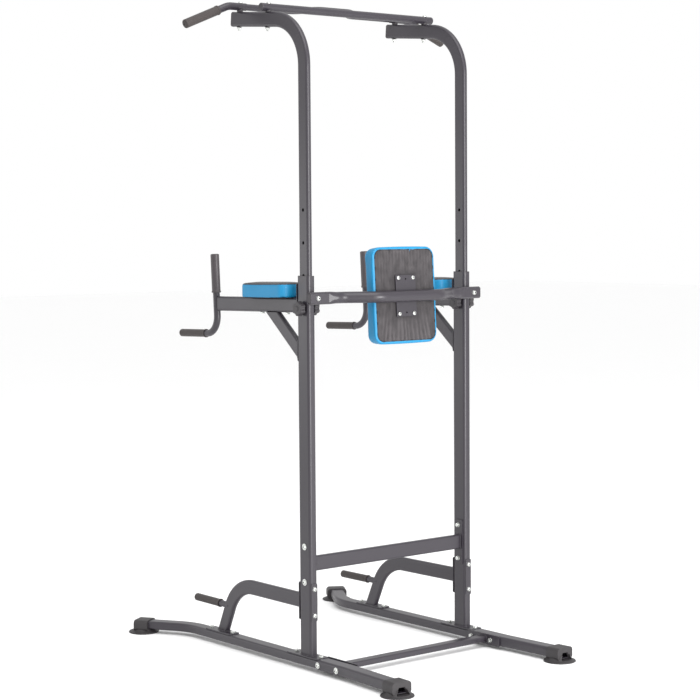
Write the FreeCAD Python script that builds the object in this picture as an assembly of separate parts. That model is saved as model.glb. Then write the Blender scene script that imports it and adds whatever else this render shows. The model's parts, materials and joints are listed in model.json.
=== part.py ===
import FreeCAD, Part
import math
import os
from FreeCAD import Rotation, Vector

# Power tower (dip, knee-raise and pull-up station).  All sizes in millimetres.
# +Z is up, X runs across the tower, and the user faces -Y.  Side "l" is +X, side "r" is -X.
# Y values below are measured from the plane of the two posts; POST_Y moves them all so that
# the row's origin is the centre of the footprint, on the floor.
POST_Y = 186.7
POST_X = 345.0                     # half the spacing of the two posts

# Tube sections: height or depth, width, outer corner radius, wall
POST_DEPTH, POST_WIDTH, POST_R, POST_WALL = 60.0, 30.0, 9.0, 2.0
NECK_DEPTH, NECK_WIDTH, NECK_R, NECK_WALL = 50.0, 20.0, 8.0, 1.5
RAIL_W, RAIL_H, RAIL_R, RAIL_WALL = 50.0, 30.0, 8.0, 2.0
REAR_CLEAR = 0.2                   # between the front rail and the rear rail that slips over it
REAR_GROW = 2 * (REAR_CLEAR + RAIL_WALL)
PAINT_GAP = 0.1                    # between touching steel pieces
SEAT_GAP = 0.05                    # under a bolt head or a washer

# Base: each side has a front rail that toes outwards, and a rear rail slipped over its end
RAIL_Z = 29.0                      # centre line of both rails
BASE_PLATE_T = 4.0
BASE_PLATE_Y = (-92.0, 74.0)
POST_BOTTOM = RAIL_Z + RAIL_H / 2 + PAINT_GAP + BASE_PLATE_T
POST_TOP = 1300.0
RAIL_JOINT_Y, RAIL_SPIGOT_Y = 75.0, 135.0
RAIL_BEND_Y, RAIL_BEND_R, RAIL_BEND_DEG, RAIL_TOE = -620.0, 200.0, 32.5, 153.0
REAR_BEND_Y, REAR_BEND_R, REAR_END_X, REAR_END_Y = 215.0, 400.0, 361.0, 485.0
BOOT_W, BOOT_TOP, BOOT_LOW, BOOT_END, BOOT_LEN, BOOT_R = 75.0, 3.5, 8.0, 4.0, 52.0, 13.0
DISC_R, DISC_BACK = 54.5, 20.0     # the disc's radius, and its centre's distance from the rail's end
RAIL_BOLT_Y = (81.0, 177.0)
BASE_BOLT_Y = (-65.0, 65.0)
CROSS_TUBE_Y, CROSS_FLANGE_Y, CROSS_FLANGE_Z, CROSS_FLANGE_T = 137.0, (62.0, 220.0), (11.0, 48.0), 4.0
CROSS_TUBE_W, CROSS_TUBE_H, CROSS_R, CROSS_WALL = 40.0, 20.0, 6.0, 1.8

# Posts, cross members and braces
LOW_BAR_Z, LOW_BAR_H, LOW_BAR_T = 350.0, 50.0, 20.0
LOW_BOLT_Z = (291.0, 409.0)
LOW_PLATE_HALF_Y, LOW_PLATE_Z, LOW_PLATE_T = 20.0, (272.0, 428.0), 3.5
TOE_DEG = 0.8                      # arms and braces turn in by this much towards the front
BRACE_Z, BRACE_FOOT_Y, BRACE_LEAN, BRACE_R = 225.0, -495.0, 25.0, 150.0
BRACE_H, BRACE_T, BRACE_WALL = 50.0, 20.0, 1.8
BRACE_PLATE_Z, BRACE_PLATE_T, BRACE_FOOT_T = (163.0, 289.0), 3.5, 4.0
BRACE_BOLT_Z = (182.0, 270.0)
BRACE_FOOT_PLATE_Y = (-568.0, -421.0)
BRACE_FOOT_BOLT_Y = (-557.0, -432.0)
BACK_PLATE_W, BACK_PLATE_T = 24.0, 2.5
PUSH_Z, PUSH_END_Y, PUSH_LEN, PUSH_R, PUSH_CAP = 141.0, -660.0, 150.0, 13.5, 12.0
STUB_END_Y, STUB_R, STUB_WALL = -455.0, 11.0, 1.5

# Dip arms
ARM_Z, ARM_END_Y, ARM_DROP_DEG, ARM_H, ARM_W = 1205.0, -498.0, 1.0, 50.0, 20.0
ARM_PLATE_T, ARM_PLATE_Z, ARM_BOLT_Z = 3.5, (1176.0, 1276.0), 1262.0
HANDLE_R, HANDLE_TOP, HANDLE_LOW_Z, HANDLE_BEND = 12.0, 1368.0, 1092.0, 62.0
HANDLE_TOP_Y, HANDLE_LOW_Y, HANDLE_END_Y = -524.0, -509.0, -724.0
UPRIGHT_GRIP_R, UPRIGHT_GRIP_LEN = 15.0, 134.0
GRIP_CAP = 12.0                    # rubber beyond the end of a dip handle
LOWER_GRIP_R, LOWER_GRIP_LEN = 13.5, 156.0
STRUT_TOP_Y, STRUT_LOW_Z, STRUT_H = -183.0, 1056.0, 48.0
STRUT_PLATE_Z, STRUT_PLATE_W = (1020.0, 1092.0), 24.0
ARM_PAD = (110.0, 245.0, 48.0)     # width, length, thickness
ARM_PAD_REAR_Y = -57.0
ARM_PAD_CORNER, ARM_PAD_TOP_R, ARM_PAD_LOW_R = 26.0, 9.0, 3.0
ARM_SCREW_Y = (-243.0, -100.0)

# Back rest
BACK_BAR_Z, BACK_BAR_R, BACK_BAR_END_Y, BACK_BAR_MID_Y = 1229.0, 19.0, 55.0, 120.0
BACK_BAR_END_X, BACK_BAR_ROUND_X, BACK_BAR_FLAT_X, BACK_BAR_WALL = 375.0, 262.0, 300.0, 1.8
BACK_BAR_FLAT_T = 20.0             # thickness of the bar's pressed ends
BOW_INNER_X, BOW_OUTER_X, BOW_BEND_R = 136.0, 236.0, 60.0
BACK_PAD = (275.0, 50.0, 325.0)    # width, thickness, height
BACK_PAD_RISE = 2.5                # the pad's middle sits this far above the plate's
BACK_TILT, BACK_FACE_Y, COVER_T = 3.3, 97.0, 1.6
BACK_PLATE = (88.0, 3.5, 138.0)    # width, thickness, height
BACK_BOLT_X, BACK_BOLT_Z, BACK_MID_HOLE_Z = 32.0, 59.5, 56.0
BACK_CORNER, BACK_FRONT_R, BACK_REAR_R, COVER_INSET, COVER_CORNER = 34.0, 12.0, 5.0, 9.0, 26.0

# Height-adjusted top frame
NECK_BOTTOM, NECK_CORNER_Z, NECK_RISE_DEG, NECK_BEND_R, NECK_END_Y = 935.0, 2132.0, 5.0, 160.0, -375.0
HOLE_PITCH, KNOB_Z, HOLE_R = 107.0, 1195.0, 5.5
SLIDE_FIT = 0.05
FRONT_BAR_Y, REAR_BAR_Y = -353.0, -194.0
FRONT_SPACER_H, REAR_SPACER_H = 4.0, 1.5
WIDE_R, REAR_BAR_R, CENTRE_R, GRIP_R, REAR_BAR_HALF = 12.7, 13.0, 11.1, 15.2, 373.0

BOLT_R, BOLT_HOLE_R = 4.0, 4.3
LONG_HEAD_R, LONG_HEAD_H, NUT_ACROSS, NUT_H, NUT_THREAD = 7.0, 3.6, 12.7, 6.2, 12.0
KNOB_R, KNOB_T, KNOB_LIFT, LOBE_AT, LOBE_R = 21.0, 19.0, 6.0, 17.0, 7.2
NOTCH_AT, NOTCH_R, KNOB_HUB_R, KNOB_SCREW_R = 26.5, 6.6, 11.0, 5.0
X, Y, Z = Vector(1, 0, 0), Vector(0, 1, 0), Vector(0, 0, 1)
NODES = {}


def rounded_rect(centre, u, v, width, height, radius):
    """Closed wire: a rectangle with round corners, width along u and height along v."""
    edges = []
    a, b = width / 2 - radius, height / 2 - radius
    corners = ((a, b, 0), (-a, b, 90), (-a, -b, 180), (a, -b, 270))
    arcs = []
    for ca, cb, start in corners:
        pts = []
        for angle in (start, start + 45, start + 90):
            t = math.radians(angle)
            pts.append(centre + u * (ca + radius * math.cos(t)) + v * (cb + radius * math.sin(t)))
        arcs.append(pts)
    for i, pts in enumerate(arcs):
        edges.append(Part.Arc(*pts).toShape())
        nxt = arcs[(i + 1) % 4][0]
        if (nxt - pts[2]).Length > 1e-6:
            edges.append(Part.LineSegment(pts[2], nxt).toShape())
    return Part.Wire(edges)


def bent_path(points, radius):
    """Wire through points with every inner corner rounded to radius."""
    edges = []
    start = points[0]
    for i in range(1, len(points) - 1):
        into = (points[i] - points[i - 1]).normalize()
        out = (points[i + 1] - points[i]).normalize()
        half = into.getAngle(out) / 2
        cut = radius * math.tan(half)
        p, q = points[i] - into * cut, points[i] + out * cut
        bis = (out - into).normalize()
        mid = points[i] + bis * (radius / math.cos(half) - radius)
        edges.append(Part.LineSegment(start, p).toShape())
        edges.append(Part.Arc(p, mid, q).toShape())
        start = q
    edges.append(Part.LineSegment(start, points[-1]).toShape())
    return Part.Wire(edges)


def swept(points, radius, profile):
    """Solid of a closed profile wire carried along a bent path."""
    return bent_path(points, radius).makePipeShell([profile], True, False)


def flat_tube(points, radius, side, width, height, corner, wall):
    """Hollow rounded-rectangle tube; width lies along side, open at both ends."""
    along = (points[1] - points[0]).normalize()
    up = side.cross(along)
    outer = rounded_rect(points[0], side, up, width, height, corner)
    inner = rounded_rect(points[0], side, up, width - 2 * wall, height - 2 * wall, corner - wall)
    if len(points) == 2:
        run = points[1] - points[0]
        return Part.Face(outer).extrude(run).cut(Part.Face(inner).extrude(run))
    return swept(points, radius, outer).cut(swept(points, radius, inner))


def round_rod(points, bend, r):
    """Solid round bar along a bent path."""
    along = (points[1] - points[0]).normalize()
    ring = Part.Wire([Part.Circle(points[0], along, r).toShape()])
    if len(points) == 2:
        return Part.Face(ring).extrude(points[1] - points[0])
    return swept(points, bend, ring)


def round_tube(points, bend, r, wall):
    """Hollow round tube along a bent path, open at both ends."""
    return round_rod(points, bend, r).cut(round_rod(points, bend, r - wall))


def cyl(p, axis, r, length):
    return Part.makeCylinder(r, length, p, axis)


def box(x0, x1, y0, y1, z0, z1):
    return Part.makeBox(x1 - x0, y1 - y0, z1 - z0, Vector(x0, y0, z0))


def soften(shape, radius, keep):
    """Fillet the edges that keep(edge) chooses."""
    return shape.makeFillet(radius, [e for e in shape.Edges if keep(e)])


def parallel(edge, axis):
    """True for a straight edge along axis."""
    if edge.Curve.TypeId != "Part::GeomLine":
        return False
    return abs(edge.tangentAt(edge.FirstParameter).dot(axis)) > 0.999


def plate(x0, x1, y0, y1, z0, z1, axis, radius):
    """Flat plate with round corners on the edges along axis."""
    return soften(box(x0, x1, y0, y1, z0, z1), radius, lambda e: parallel(e, axis))


def hexagon(p, axis, flats, length):
    """Hexagonal prism for nuts and bolt heads."""
    ref = Z if abs(axis.dot(Z)) < 0.9 else X
    u = axis.cross(ref).normalize()
    v = axis.cross(u)
    r = flats / math.sqrt(3)
    pts = []
    for k in range(7):
        t = math.radians(60 * k)
        pts.append(p + u * (r * math.cos(t)) + v * (r * math.sin(t)))
    return Part.Face(Part.makePolygon(pts)).extrude(axis * length)


def dome(p, axis, r, height):
    """Low round bolt head standing on p."""
    ball_r = (r * r + height * height) / (2 * height)
    ball = Part.makeSphere(ball_r, p + axis * (height - ball_r))
    return ball.common(cyl(p, axis, r, height + 1))


def bolt(p, axis, grip, head="dome", washer=9.0, nut=True, r=BOLT_R):
    """Bolt whose head stands on p, facing axis, clamping grip millimetres behind p."""
    parts = [cyl(p - axis * (grip + (9.0 if nut else 0.0)), axis, r, grip + (9.0 if nut else 0.0) + 1.0)]
    base = p
    if washer:
        parts.append(cyl(p, axis, washer, 1.6))
        base = p + axis * 1.6
    parts.append(dome(base, axis, 7.2, 4.6) if head == "dome" else hexagon(base, axis, 12.7, 5.2))
    if nut:
        back = p - axis * grip
        parts.append(cyl(back - axis * 1.6, axis, 8.0, 1.6))
        parts.append(hexagon(back - axis * 1.6, axis * -1, 12.7, 6.0))
    solid = parts[0]
    for piece in parts[1:]:
        solid = solid.fuse(piece)
    return solid.removeSplitter()


def drill(shape, holes):
    """Cut every (point, axis, radius, length) hole from shape."""
    for p, axis, r, length in holes:
        shape = shape.cut(cyl(p, axis, r, length))
    return shape


def add(name, shape):
    NODES[name] = shape


def mirrored(shape):
    return shape.mirror(Vector(0, 0, 0), X)


def both(name, shape):
    """Store a piece of the +X side and its mirror image."""
    add(name + "_l", shape)
    add(name + "_r", mirrored(shape))


def foot(end, heading, width, height, radius):
    """Rubber boot over a rail end, standing on a broad thin-edged disc, with an arched end face."""
    side = heading.cross(Z)
    start = end - heading * (BOOT_LEN - BOOT_END)
    top = RAIL_Z + height / 2 + BOOT_TOP
    middle = Vector(start.x, start.y, (top + BOOT_LOW) / 2)
    body = Part.Face(rounded_rect(middle, side, Z, BOOT_W, top - BOOT_LOW, BOOT_R))
    body = body.extrude(heading * BOOT_LEN)

    centre = end - heading * DISC_BACK
    centre.z = 0

    def at(reach, z):
        return centre + side * reach + Z * z

    neck_r, neck_z = 34.0, 24.0
    rim = [at(0, 0), at(DISC_R - 2.5, 0), at(DISC_R, 2.2), at(DISC_R - 1.5, 4.6)]
    edges = [Part.LineSegment(rim[i], rim[i + 1]).toShape() for i in range(3)]
    edges.append(Part.Arc(rim[3], at(40.5, 9.5), at(neck_r, neck_z)).toShape())
    edges.append(Part.LineSegment(at(neck_r, neck_z), at(0, neck_z)).toShape())
    edges.append(Part.LineSegment(at(0, neck_z), rim[0]).toShape())
    disc = Part.Face(Part.Wire(edges)).revolve(centre, Z, 360)

    solid = body.fuse(disc)
    scoop_at = end + heading * (BOOT_END + 9.0)
    scoop_at.z = BOOT_LOW
    solid = solid.cut(Part.makeCone(26.0, 15.0, 24.0, scoop_at, Z))
    reach = start - heading * 40
    socket = Part.Face(rounded_rect(reach, side, Z, width + 0.2, height + 0.2, radius + 0.1))
    return solid.cut(socket.extrude(heading * (BOOT_LEN - BOOT_END + 40.1))).removeSplitter()


def toe_in(shape):
    """Turn a piece of the +X side inwards about the front of its post."""
    shape.rotate(Vector(POST_X, -POST_DEPTH / 2, 0), Z, -TOE_DEG)
    return shape


def base():
    px = POST_X
    t = math.radians(RAIL_BEND_DEG)
    front_dir = Vector(math.sin(t), -math.cos(t), 0)
    cut = RAIL_BEND_R * math.tan(t / 2)
    corner = Vector(px, RAIL_BEND_Y - cut, RAIL_Z)
    toe = corner + front_dir * (cut + RAIL_TOE)
    front = flat_tube([Vector(px, RAIL_SPIGOT_Y, RAIL_Z), corner, toe], RAIL_BEND_R, X * -1,
                      RAIL_W, RAIL_H, RAIL_R, RAIL_WALL)
    rear_w, rear_h, rear_r = RAIL_W + REAR_GROW, RAIL_H + REAR_GROW, RAIL_R + REAR_GROW / 2
    bend = Vector(px, REAR_BEND_Y, RAIL_Z)
    heel = Vector(REAR_END_X, REAR_END_Y, RAIL_Z)
    rear = flat_tube([Vector(px, RAIL_JOINT_Y, RAIL_Z), bend, heel], REAR_BEND_R, X,
                     rear_w, rear_h, rear_r, RAIL_WALL)
    down = []
    for y in BASE_BOLT_Y + BRACE_FOOT_BOLT_Y:
        down.append((Vector(px, y, -5), Z, BOLT_HOLE_R, 80))
    across = [(Vector(px - 45, y, RAIL_Z), X, BOLT_HOLE_R, 90) for y in RAIL_BOLT_Y]
    both("front_rail", drill(front, down + across[:1]))
    both("rear_rail", drill(rear, across))
    both("front_foot", foot(toe, front_dir, RAIL_W, RAIL_H, RAIL_R))
    both("rear_foot", foot(heel, (heel - bend).normalize(), rear_w, rear_h, rear_r))

    # cross tube between the rear rails, with a bolted flange at each end
    face = px - rear_w / 2 - PAINT_GAP
    ends = [Vector(s * (face - CROSS_FLANGE_T), CROSS_TUBE_Y, RAIL_Z) for s in (-1, 1)]
    tube = flat_tube(ends, 0, Y, CROSS_TUBE_W, CROSS_TUBE_H, CROSS_R, CROSS_WALL)
    holes = []
    for s in (-1, 1):
        x0, x1 = sorted((s * face, s * (face - CROSS_FLANGE_T)))
        tube = tube.fuse(plate(x0, x1, *CROSS_FLANGE_Y, *CROSS_FLANGE_Z, X, 5))
        holes += [(Vector(s * face - 10, y, RAIL_Z), X, BOLT_HOLE_R, 20) for y in RAIL_BOLT_Y]
    add("base_cross_tube", drill(tube.removeSplitter(), holes))


def post():
    px = POST_X
    tube = flat_tube([Vector(px, 0, POST_BOTTOM), Vector(px, 0, POST_TOP)], 0, X,
                     POST_WIDTH, POST_DEPTH, POST_R, POST_WALL)
    z0 = POST_BOTTOM - BASE_PLATE_T
    foot_plate = plate(px - 25, px + 25, *BASE_PLATE_Y, z0, POST_BOTTOM, Z, 6)
    # welded boss that carries the back rest's cross bar
    boss_end = BACK_BAR_END_Y - BACK_BAR_FLAT_T / 2 - PAINT_GAP
    boss = cyl(Vector(px, POST_DEPTH / 2 - 1, BACK_BAR_Z), Y, 13, boss_end - POST_DEPTH / 2 + 1)
    solid = tube.fuse(foot_plate).fuse(boss).removeSplitter()
    holes = [(Vector(px, 28, BACK_BAR_Z), Y, BOLT_HOLE_R, 40)]
    for z in LOW_BOLT_Z:
        holes.append((Vector(px - 40, 0, z), X, BOLT_HOLE_R, 80))
    for z in BRACE_BOLT_Z:
        holes.append((Vector(px, -40, z), Y, BOLT_HOLE_R, 80))
    holes.append((Vector(px, -40, ARM_BOLT_Z), Y, BOLT_HOLE_R, 15))
    for y in BASE_BOLT_Y:
        holes.append((Vector(px, y, z0 - 5), Z, BOLT_HOLE_R, 20))
    holes.append((Vector(px - 20, 0, KNOB_Z), X, 5.05, 40))
    both("lower_post", drill(solid, holes))

    # plastic bush in the mouth of the post, running on the inner tube
    w, d = POST_WIDTH - 2 * POST_WALL, POST_DEPTH - 2 * POST_WALL
    centre = Vector(px, 0, POST_TOP)
    bush = Part.Face(rounded_rect(centre - Z * 40, X, Y, w, d, POST_R - POST_WALL)).extrude(Z * 40)
    lip = Part.Face(rounded_rect(centre, X, Y, POST_WIDTH, POST_DEPTH, POST_R)).extrude(Z * 1.5)
    bore = rounded_rect(centre - Z * 45, X, Y, NECK_WIDTH + 2 * SLIDE_FIT, NECK_DEPTH + 2 * SLIDE_FIT, NECK_R)
    both("post_bush", bush.fuse(lip).removeSplitter().cut(Part.Face(bore).extrude(Z * 60)))


def lower_cross_bar():
    face = POST_X - POST_WIDTH / 2 - PAINT_GAP
    inner = face - LOW_PLATE_T
    tube = flat_tube([Vector(-inner, 0, LOW_BAR_Z), Vector(inner, 0, LOW_BAR_Z)], 0, Y,
                     LOW_BAR_T, LOW_BAR_H, CROSS_R, CROSS_WALL)
    holes = []
    for s in (-1, 1):
        x0, x1 = sorted((s * face, s * inner))
        tube = tube.fuse(plate(x0, x1, -LOW_PLATE_HALF_Y, LOW_PLATE_HALF_Y, *LOW_PLATE_Z, X, 6))
        holes += [(Vector(s * face - 10, 0, z), X, BOLT_HOLE_R, 20) for z in LOW_BOLT_Z]
    add("lower_cross_bar", drill(tube.removeSplitter(), holes))


def side_brace():
    px = POST_X
    t = math.radians(BRACE_LEAN)
    rail_top = RAIL_Z + RAIL_H / 2 + PAINT_GAP
    down = Vector(0, -math.sin(t), -math.cos(t))
    low = Vector(px, BRACE_FOOT_Y, rail_top)
    corner = low - down * ((BRACE_Z - rail_top) / math.cos(t))
    low = low + down * 20
    front = -POST_DEPTH / 2 - PAINT_GAP
    path = [Vector(px, front - 1, BRACE_Z), corner, low]
    tube = flat_tube(path, BRACE_R, X, BRACE_T, BRACE_H, 8, BRACE_WALL)
    tube = tube.cut(box(0, 600, -800, 0, -60, rail_top + 1))
    # short stub that carries the floor grip and ends at the leg's wall
    stub_ends = [Vector(px, PUSH_END_Y + PUSH_CAP, PUSH_Z), Vector(px, STUB_END_Y, PUSH_Z)]
    stub = round_tube(stub_ends, 0, STUB_R, STUB_WALL)
    across = X.cross((low - corner).normalize())
    hollow = rounded_rect(corner, X, across, BRACE_T - 2 * BRACE_WALL, BRACE_H - 2 * BRACE_WALL, 6.2)
    stub = stub.cut(Part.Face(hollow).extrude(low - corner))
    welded = toe_in(tube.fuse(stub))
    foot_plate = plate(px - 22, px + 22, *BRACE_FOOT_PLATE_Y, rail_top, rail_top + BRACE_FOOT_T, Z, 6)
    post_plate = plate(px - 15, px + 15, front - BRACE_PLATE_T, front, *BRACE_PLATE_Z, Y, 5)
    solid = welded.fuse(foot_plate).fuse(post_plate).removeSplitter()
    holes = [(Vector(px, y, 30), Z, BOLT_HOLE_R, 40) for y in BRACE_FOOT_BOLT_Y]
    holes += [(Vector(px, -60, z), Y, BOLT_HOLE_R, 40) for z in BRACE_BOLT_Z]
    both("side_brace", drill(solid, holes))

    rear = POST_DEPTH / 2 + PAINT_GAP
    half = BACK_PLATE_W / 2
    strip = plate(px - half, px + half, rear, rear + BACK_PLATE_T, *BRACE_PLATE_Z, Y, 5)
    both("brace_back_plate", drill(strip, [(Vector(px, 20, z), Y, BOLT_HOLE_R, 30) for z in BRACE_BOLT_Z]))

    grip = cyl(Vector(px, PUSH_END_Y, PUSH_Z), Y, PUSH_R, PUSH_LEN)
    grip = soften(grip, 3.0, lambda e: e.BoundBox.YMax < PUSH_END_Y + 1)
    bore = cyl(Vector(px, PUSH_END_Y + PUSH_CAP - 0.5, PUSH_Z), Y, STUB_R + SEAT_GAP, PUSH_LEN)
    both("floor_grip", toe_in(grip.cut(bore)))


def sleeve(tip, axis, r, length):
    """Rubber grip over the dip handle: closed and rounded at tip, open at the other end."""
    grip = cyl(tip - axis * length, axis, r, length)
    grip = soften(grip, 2.5, lambda e: (e.CenterOfMass - tip).Length < 3)
    return grip.cut(cyl(tip - axis * (length + GRIP_CAP), axis, HANDLE_R + SEAT_GAP, length))


def dip_arm():
    px = POST_X
    t = math.radians(ARM_DROP_DEG)
    front = -POST_DEPTH / 2 - PAINT_GAP
    plate_face = front - ARM_PLATE_T
    fwd = Vector(0, -math.cos(t), -math.sin(t))
    start = Vector(px, plate_face + 1, ARM_Z)
    arm = flat_tube([start, start + fwd * ((ARM_END_Y - start.y) / fwd.y)], 0, X, ARM_W, ARM_H, 8, 1.8)

    # handle: an upright with an outward bend at its foot, welded across the arm's end
    top = Vector(px, HANDLE_TOP_Y, HANDLE_TOP - GRIP_CAP)
    low = Vector(px, HANDLE_LOW_Y, HANDLE_LOW_Z)
    end = Vector(px, HANDLE_END_Y, HANDLE_LOW_Z - 6)
    up_axis = (top - low).normalize()
    out_axis = (end - low).normalize()
    both("dip_handle", toe_in(round_tube([top, low, end], HANDLE_BEND, HANDLE_R, 1.8)))
    both("upright_grip", toe_in(sleeve(top + up_axis * GRIP_CAP, up_axis, UPRIGHT_GRIP_R, UPRIGHT_GRIP_LEN)))
    both("lower_grip", toe_in(sleeve(end + out_axis * GRIP_CAP, out_axis, LOWER_GRIP_R, LOWER_GRIP_LEN)))

    arm = arm.cut(round_rod([top + up_axis, low, end], HANDLE_BEND, HANDLE_R))
    arm = toe_in(drill(arm, [(Vector(px, y, 1160), Z, 3.3, 80) for y in ARM_SCREW_Y]))
    post_plate = plate(px - 15, px + 15, plate_face, front, *ARM_PLATE_Z, Y, 5)
    arm = arm.fuse(post_plate).removeSplitter()
    both("dip_arm", drill(arm, [(Vector(px, -60, ARM_BOLT_Z), Y, BOLT_HOLE_R, 40)]))

    # strut under the arm, with a small plate that is welded to the post
    a = Vector(px, STRUT_TOP_Y, ARM_Z - ARM_H / 2)
    b = Vector(px, plate_face, STRUT_LOW_Z)
    d = (b - a).normalize()
    strut = flat_tube([a - d * 60, b + d * 60], 0, X, 20, STRUT_H, 8, 1.8)
    under_arm = Part.makeBox(60, 600, 200, Vector(-30, -600, 0))
    under_arm.rotate(Vector(0, 0, 0), X, ARM_DROP_DEG)
    under_arm.translate(Vector(px, plate_face, ARM_Z - ARM_H / 2 - PAINT_GAP - 0.2))
    strut = toe_in(strut.cut(under_arm).cut(box(0, 600, plate_face + 1, 300, 900, 1400)))
    half = STRUT_PLATE_W / 2
    low_plate = plate(px - half, px + half, plate_face, front, *STRUT_PLATE_Z, Y, 5)
    both("arm_strut", strut.fuse(low_plate).removeSplitter())

    # arm pad: a plain rounded cushion resting on the arm
    w, length, thick = ARM_PAD
    rear = ARM_PAD_REAR_Y
    pad = box(px - w / 2, px + w / 2, rear - length, rear, 0, thick)
    pad = soften(pad, ARM_PAD_CORNER, lambda e: parallel(e, Z))
    pad = soften(pad, ARM_PAD_TOP_R, lambda e: e.BoundBox.ZMin > thick - 0.5)
    pad = soften(pad, ARM_PAD_LOW_R, lambda e: e.BoundBox.ZMax < 0.5)
    pad.rotate(Vector(px, plate_face, 0), X, ARM_DROP_DEG)
    pad.translate(Vector(0, 0, ARM_Z + ARM_H / 2 + PAINT_GAP))
    both("arm_pad", toe_in(pad))


def oval(x, half_depth, half_height):
    """Closed wire across the back bar at x."""
    ring = Part.Wire([Part.Circle(Vector(0, 0, 0), X, 1.0).toShape()])
    stretch = FreeCAD.Matrix()
    stretch.scale(1.0, half_depth, half_height)
    ring = ring.transformGeometry(stretch)
    ring.translate(Vector(x, BACK_BAR_END_Y, BACK_BAR_Z))
    return ring


def pressed_end(shrink, end_x):
    """One end of the back bar: round tube pressed to an oval with two flats, as a solid."""
    r = BACK_BAR_R
    neck_x = BACK_BAR_FLAT_X - 8
    sections = []
    for k in range(4):
        f = k / 3
        s = f * f * (3 - 2 * f)
        x = BACK_BAR_ROUND_X + f * (neck_x - BACK_BAR_ROUND_X)
        sections.append(oval(x, r - 5 * s - shrink, r + 1.5 * s - shrink))
    solid = Part.makeLoft(sections, True, False)
    solid = solid.fuse(Part.Face(sections[-1]).extrude(X * (end_x - neck_x)))
    y, z = BACK_BAR_END_Y, BACK_BAR_Z - 40
    wide, flat = r + 1.0 - shrink, BACK_BAR_FLAT_T / 2 - shrink
    outline = [(BACK_BAR_ROUND_X, wide), (BACK_BAR_FLAT_X, flat), (end_x, flat),
               (end_x, -flat), (BACK_BAR_FLAT_X, -flat), (BACK_BAR_ROUND_X, -wide)]
    pts = [Vector(x, y + dy, z) for x, dy in outline]
    return solid.common(Part.Face(Part.makePolygon(pts + [pts[0]])).extrude(Z * 80))


def back_bar_core(shrink, end_x):
    """The back bar's outside (shrink 0) or its hollow, as one solid."""
    y0, y1, z = BACK_BAR_END_Y, BACK_BAR_MID_Y, BACK_BAR_Z
    half = [(BOW_INNER_X, y1), (BOW_OUTER_X, y0), (BACK_BAR_ROUND_X, y0)]
    bow = [(-x, y) for x, y in reversed(half)] + half
    middle = round_rod([Vector(x, y, z) for x, y in bow], BOW_BEND_R, BACK_BAR_R - shrink)
    end = pressed_end(shrink, end_x)
    return middle.fuse(end).fuse(mirrored(end))


def back_rest():
    # cross bar bowed to the rear, with the pad's plate welded to its middle
    void = back_bar_core(BACK_BAR_WALL, BACK_BAR_END_X + 1)
    tube = back_bar_core(0, BACK_BAR_END_X).cut(void)
    plate_w, plate_t, plate_h = BACK_PLATE
    pad_plate = plate(-plate_w / 2, plate_w / 2, 0, plate_t, -plate_h / 2, plate_h / 2, Y, 3)
    place(pad_plate, COVER_T)
    tube = tube.fuse(pad_plate.cut(void)).removeSplitter()
    axis = tilt_axis()
    corners = [(sx, sz) for sx in (-BACK_BOLT_X, BACK_BOLT_X) for sz in (-BACK_BOLT_Z, BACK_BOLT_Z)]
    holes = [(placed_point(Vector(sx, -5, sz)), axis, 3.6, 30) for sx, sz in corners]
    holes += [(placed_point(Vector(0, -5, sz)), axis, 3.2, 14) for sz in (-BACK_MID_HOLE_Z, BACK_MID_HOLE_Z)]
    for s in (-1, 1):
        holes.append((Vector(s * POST_X, BACK_BAR_END_Y - 20, BACK_BAR_Z), Y, BOLT_HOLE_R, 40))
    add("back_cross_bar", drill(tube, holes))

    w, thick, h = BACK_PAD
    pad = box(-w / 2, w / 2, -thick, 0, BACK_PAD_RISE - h / 2, BACK_PAD_RISE + h / 2)
    pad = soften(pad, BACK_CORNER, lambda e: parallel(e, Y))
    pad = soften(pad, BACK_FRONT_R, lambda e: e.BoundBox.YMax < -thick + 0.5)
    pad = soften(pad, BACK_REAR_R, lambda e: e.BoundBox.YMin > -0.5)
    place(pad, 0)
    add("back_pad", pad)
    x1, z1 = w / 2 - COVER_INSET, h / 2 - COVER_INSET
    cover = plate(-x1, x1, SEAT_GAP, COVER_T - SEAT_GAP, BACK_PAD_RISE - z1, BACK_PAD_RISE + z1, Y, COVER_CORNER)
    place(cover, 0)
    add("back_cover", cover)
    heads = []
    for sx, sz in corners:
        p = placed_point(Vector(sx, COVER_T + plate_t, sz))
        heads.append(bolt(p, axis, 3.4, "dome", 0, False, 3.4))
    add("back_pad_bolts", Part.makeCompound(heads))


def tilt_axis():
    t = math.radians(BACK_TILT)
    return Vector(0, math.cos(t), math.sin(t))


def place(shape, forward):
    """Move a piece drawn upright at the origin onto the leaning back rest."""
    shape.translate(Vector(0, forward, 0))
    shape.rotate(Vector(0, 0, 0), X, BACK_TILT)
    shape.translate(Vector(0, BACK_FACE_Y, BACK_BAR_Z))


def placed_point(p):
    q = Rotation(X, BACK_TILT).multVec(p)
    return q + Vector(0, BACK_FACE_Y, BACK_BAR_Z)


def neck_point(y, offset):
    """Point over the goose neck's sloping arm, offset above its centre line."""
    t = math.radians(NECK_RISE_DEG)
    z = NECK_CORNER_Z - y * math.tan(t)
    return Vector(POST_X, y + offset * math.sin(t), z + offset * math.cos(t))


def neck_up():
    t = math.radians(NECK_RISE_DEG)
    return Vector(0, math.sin(t), math.cos(t))


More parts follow.
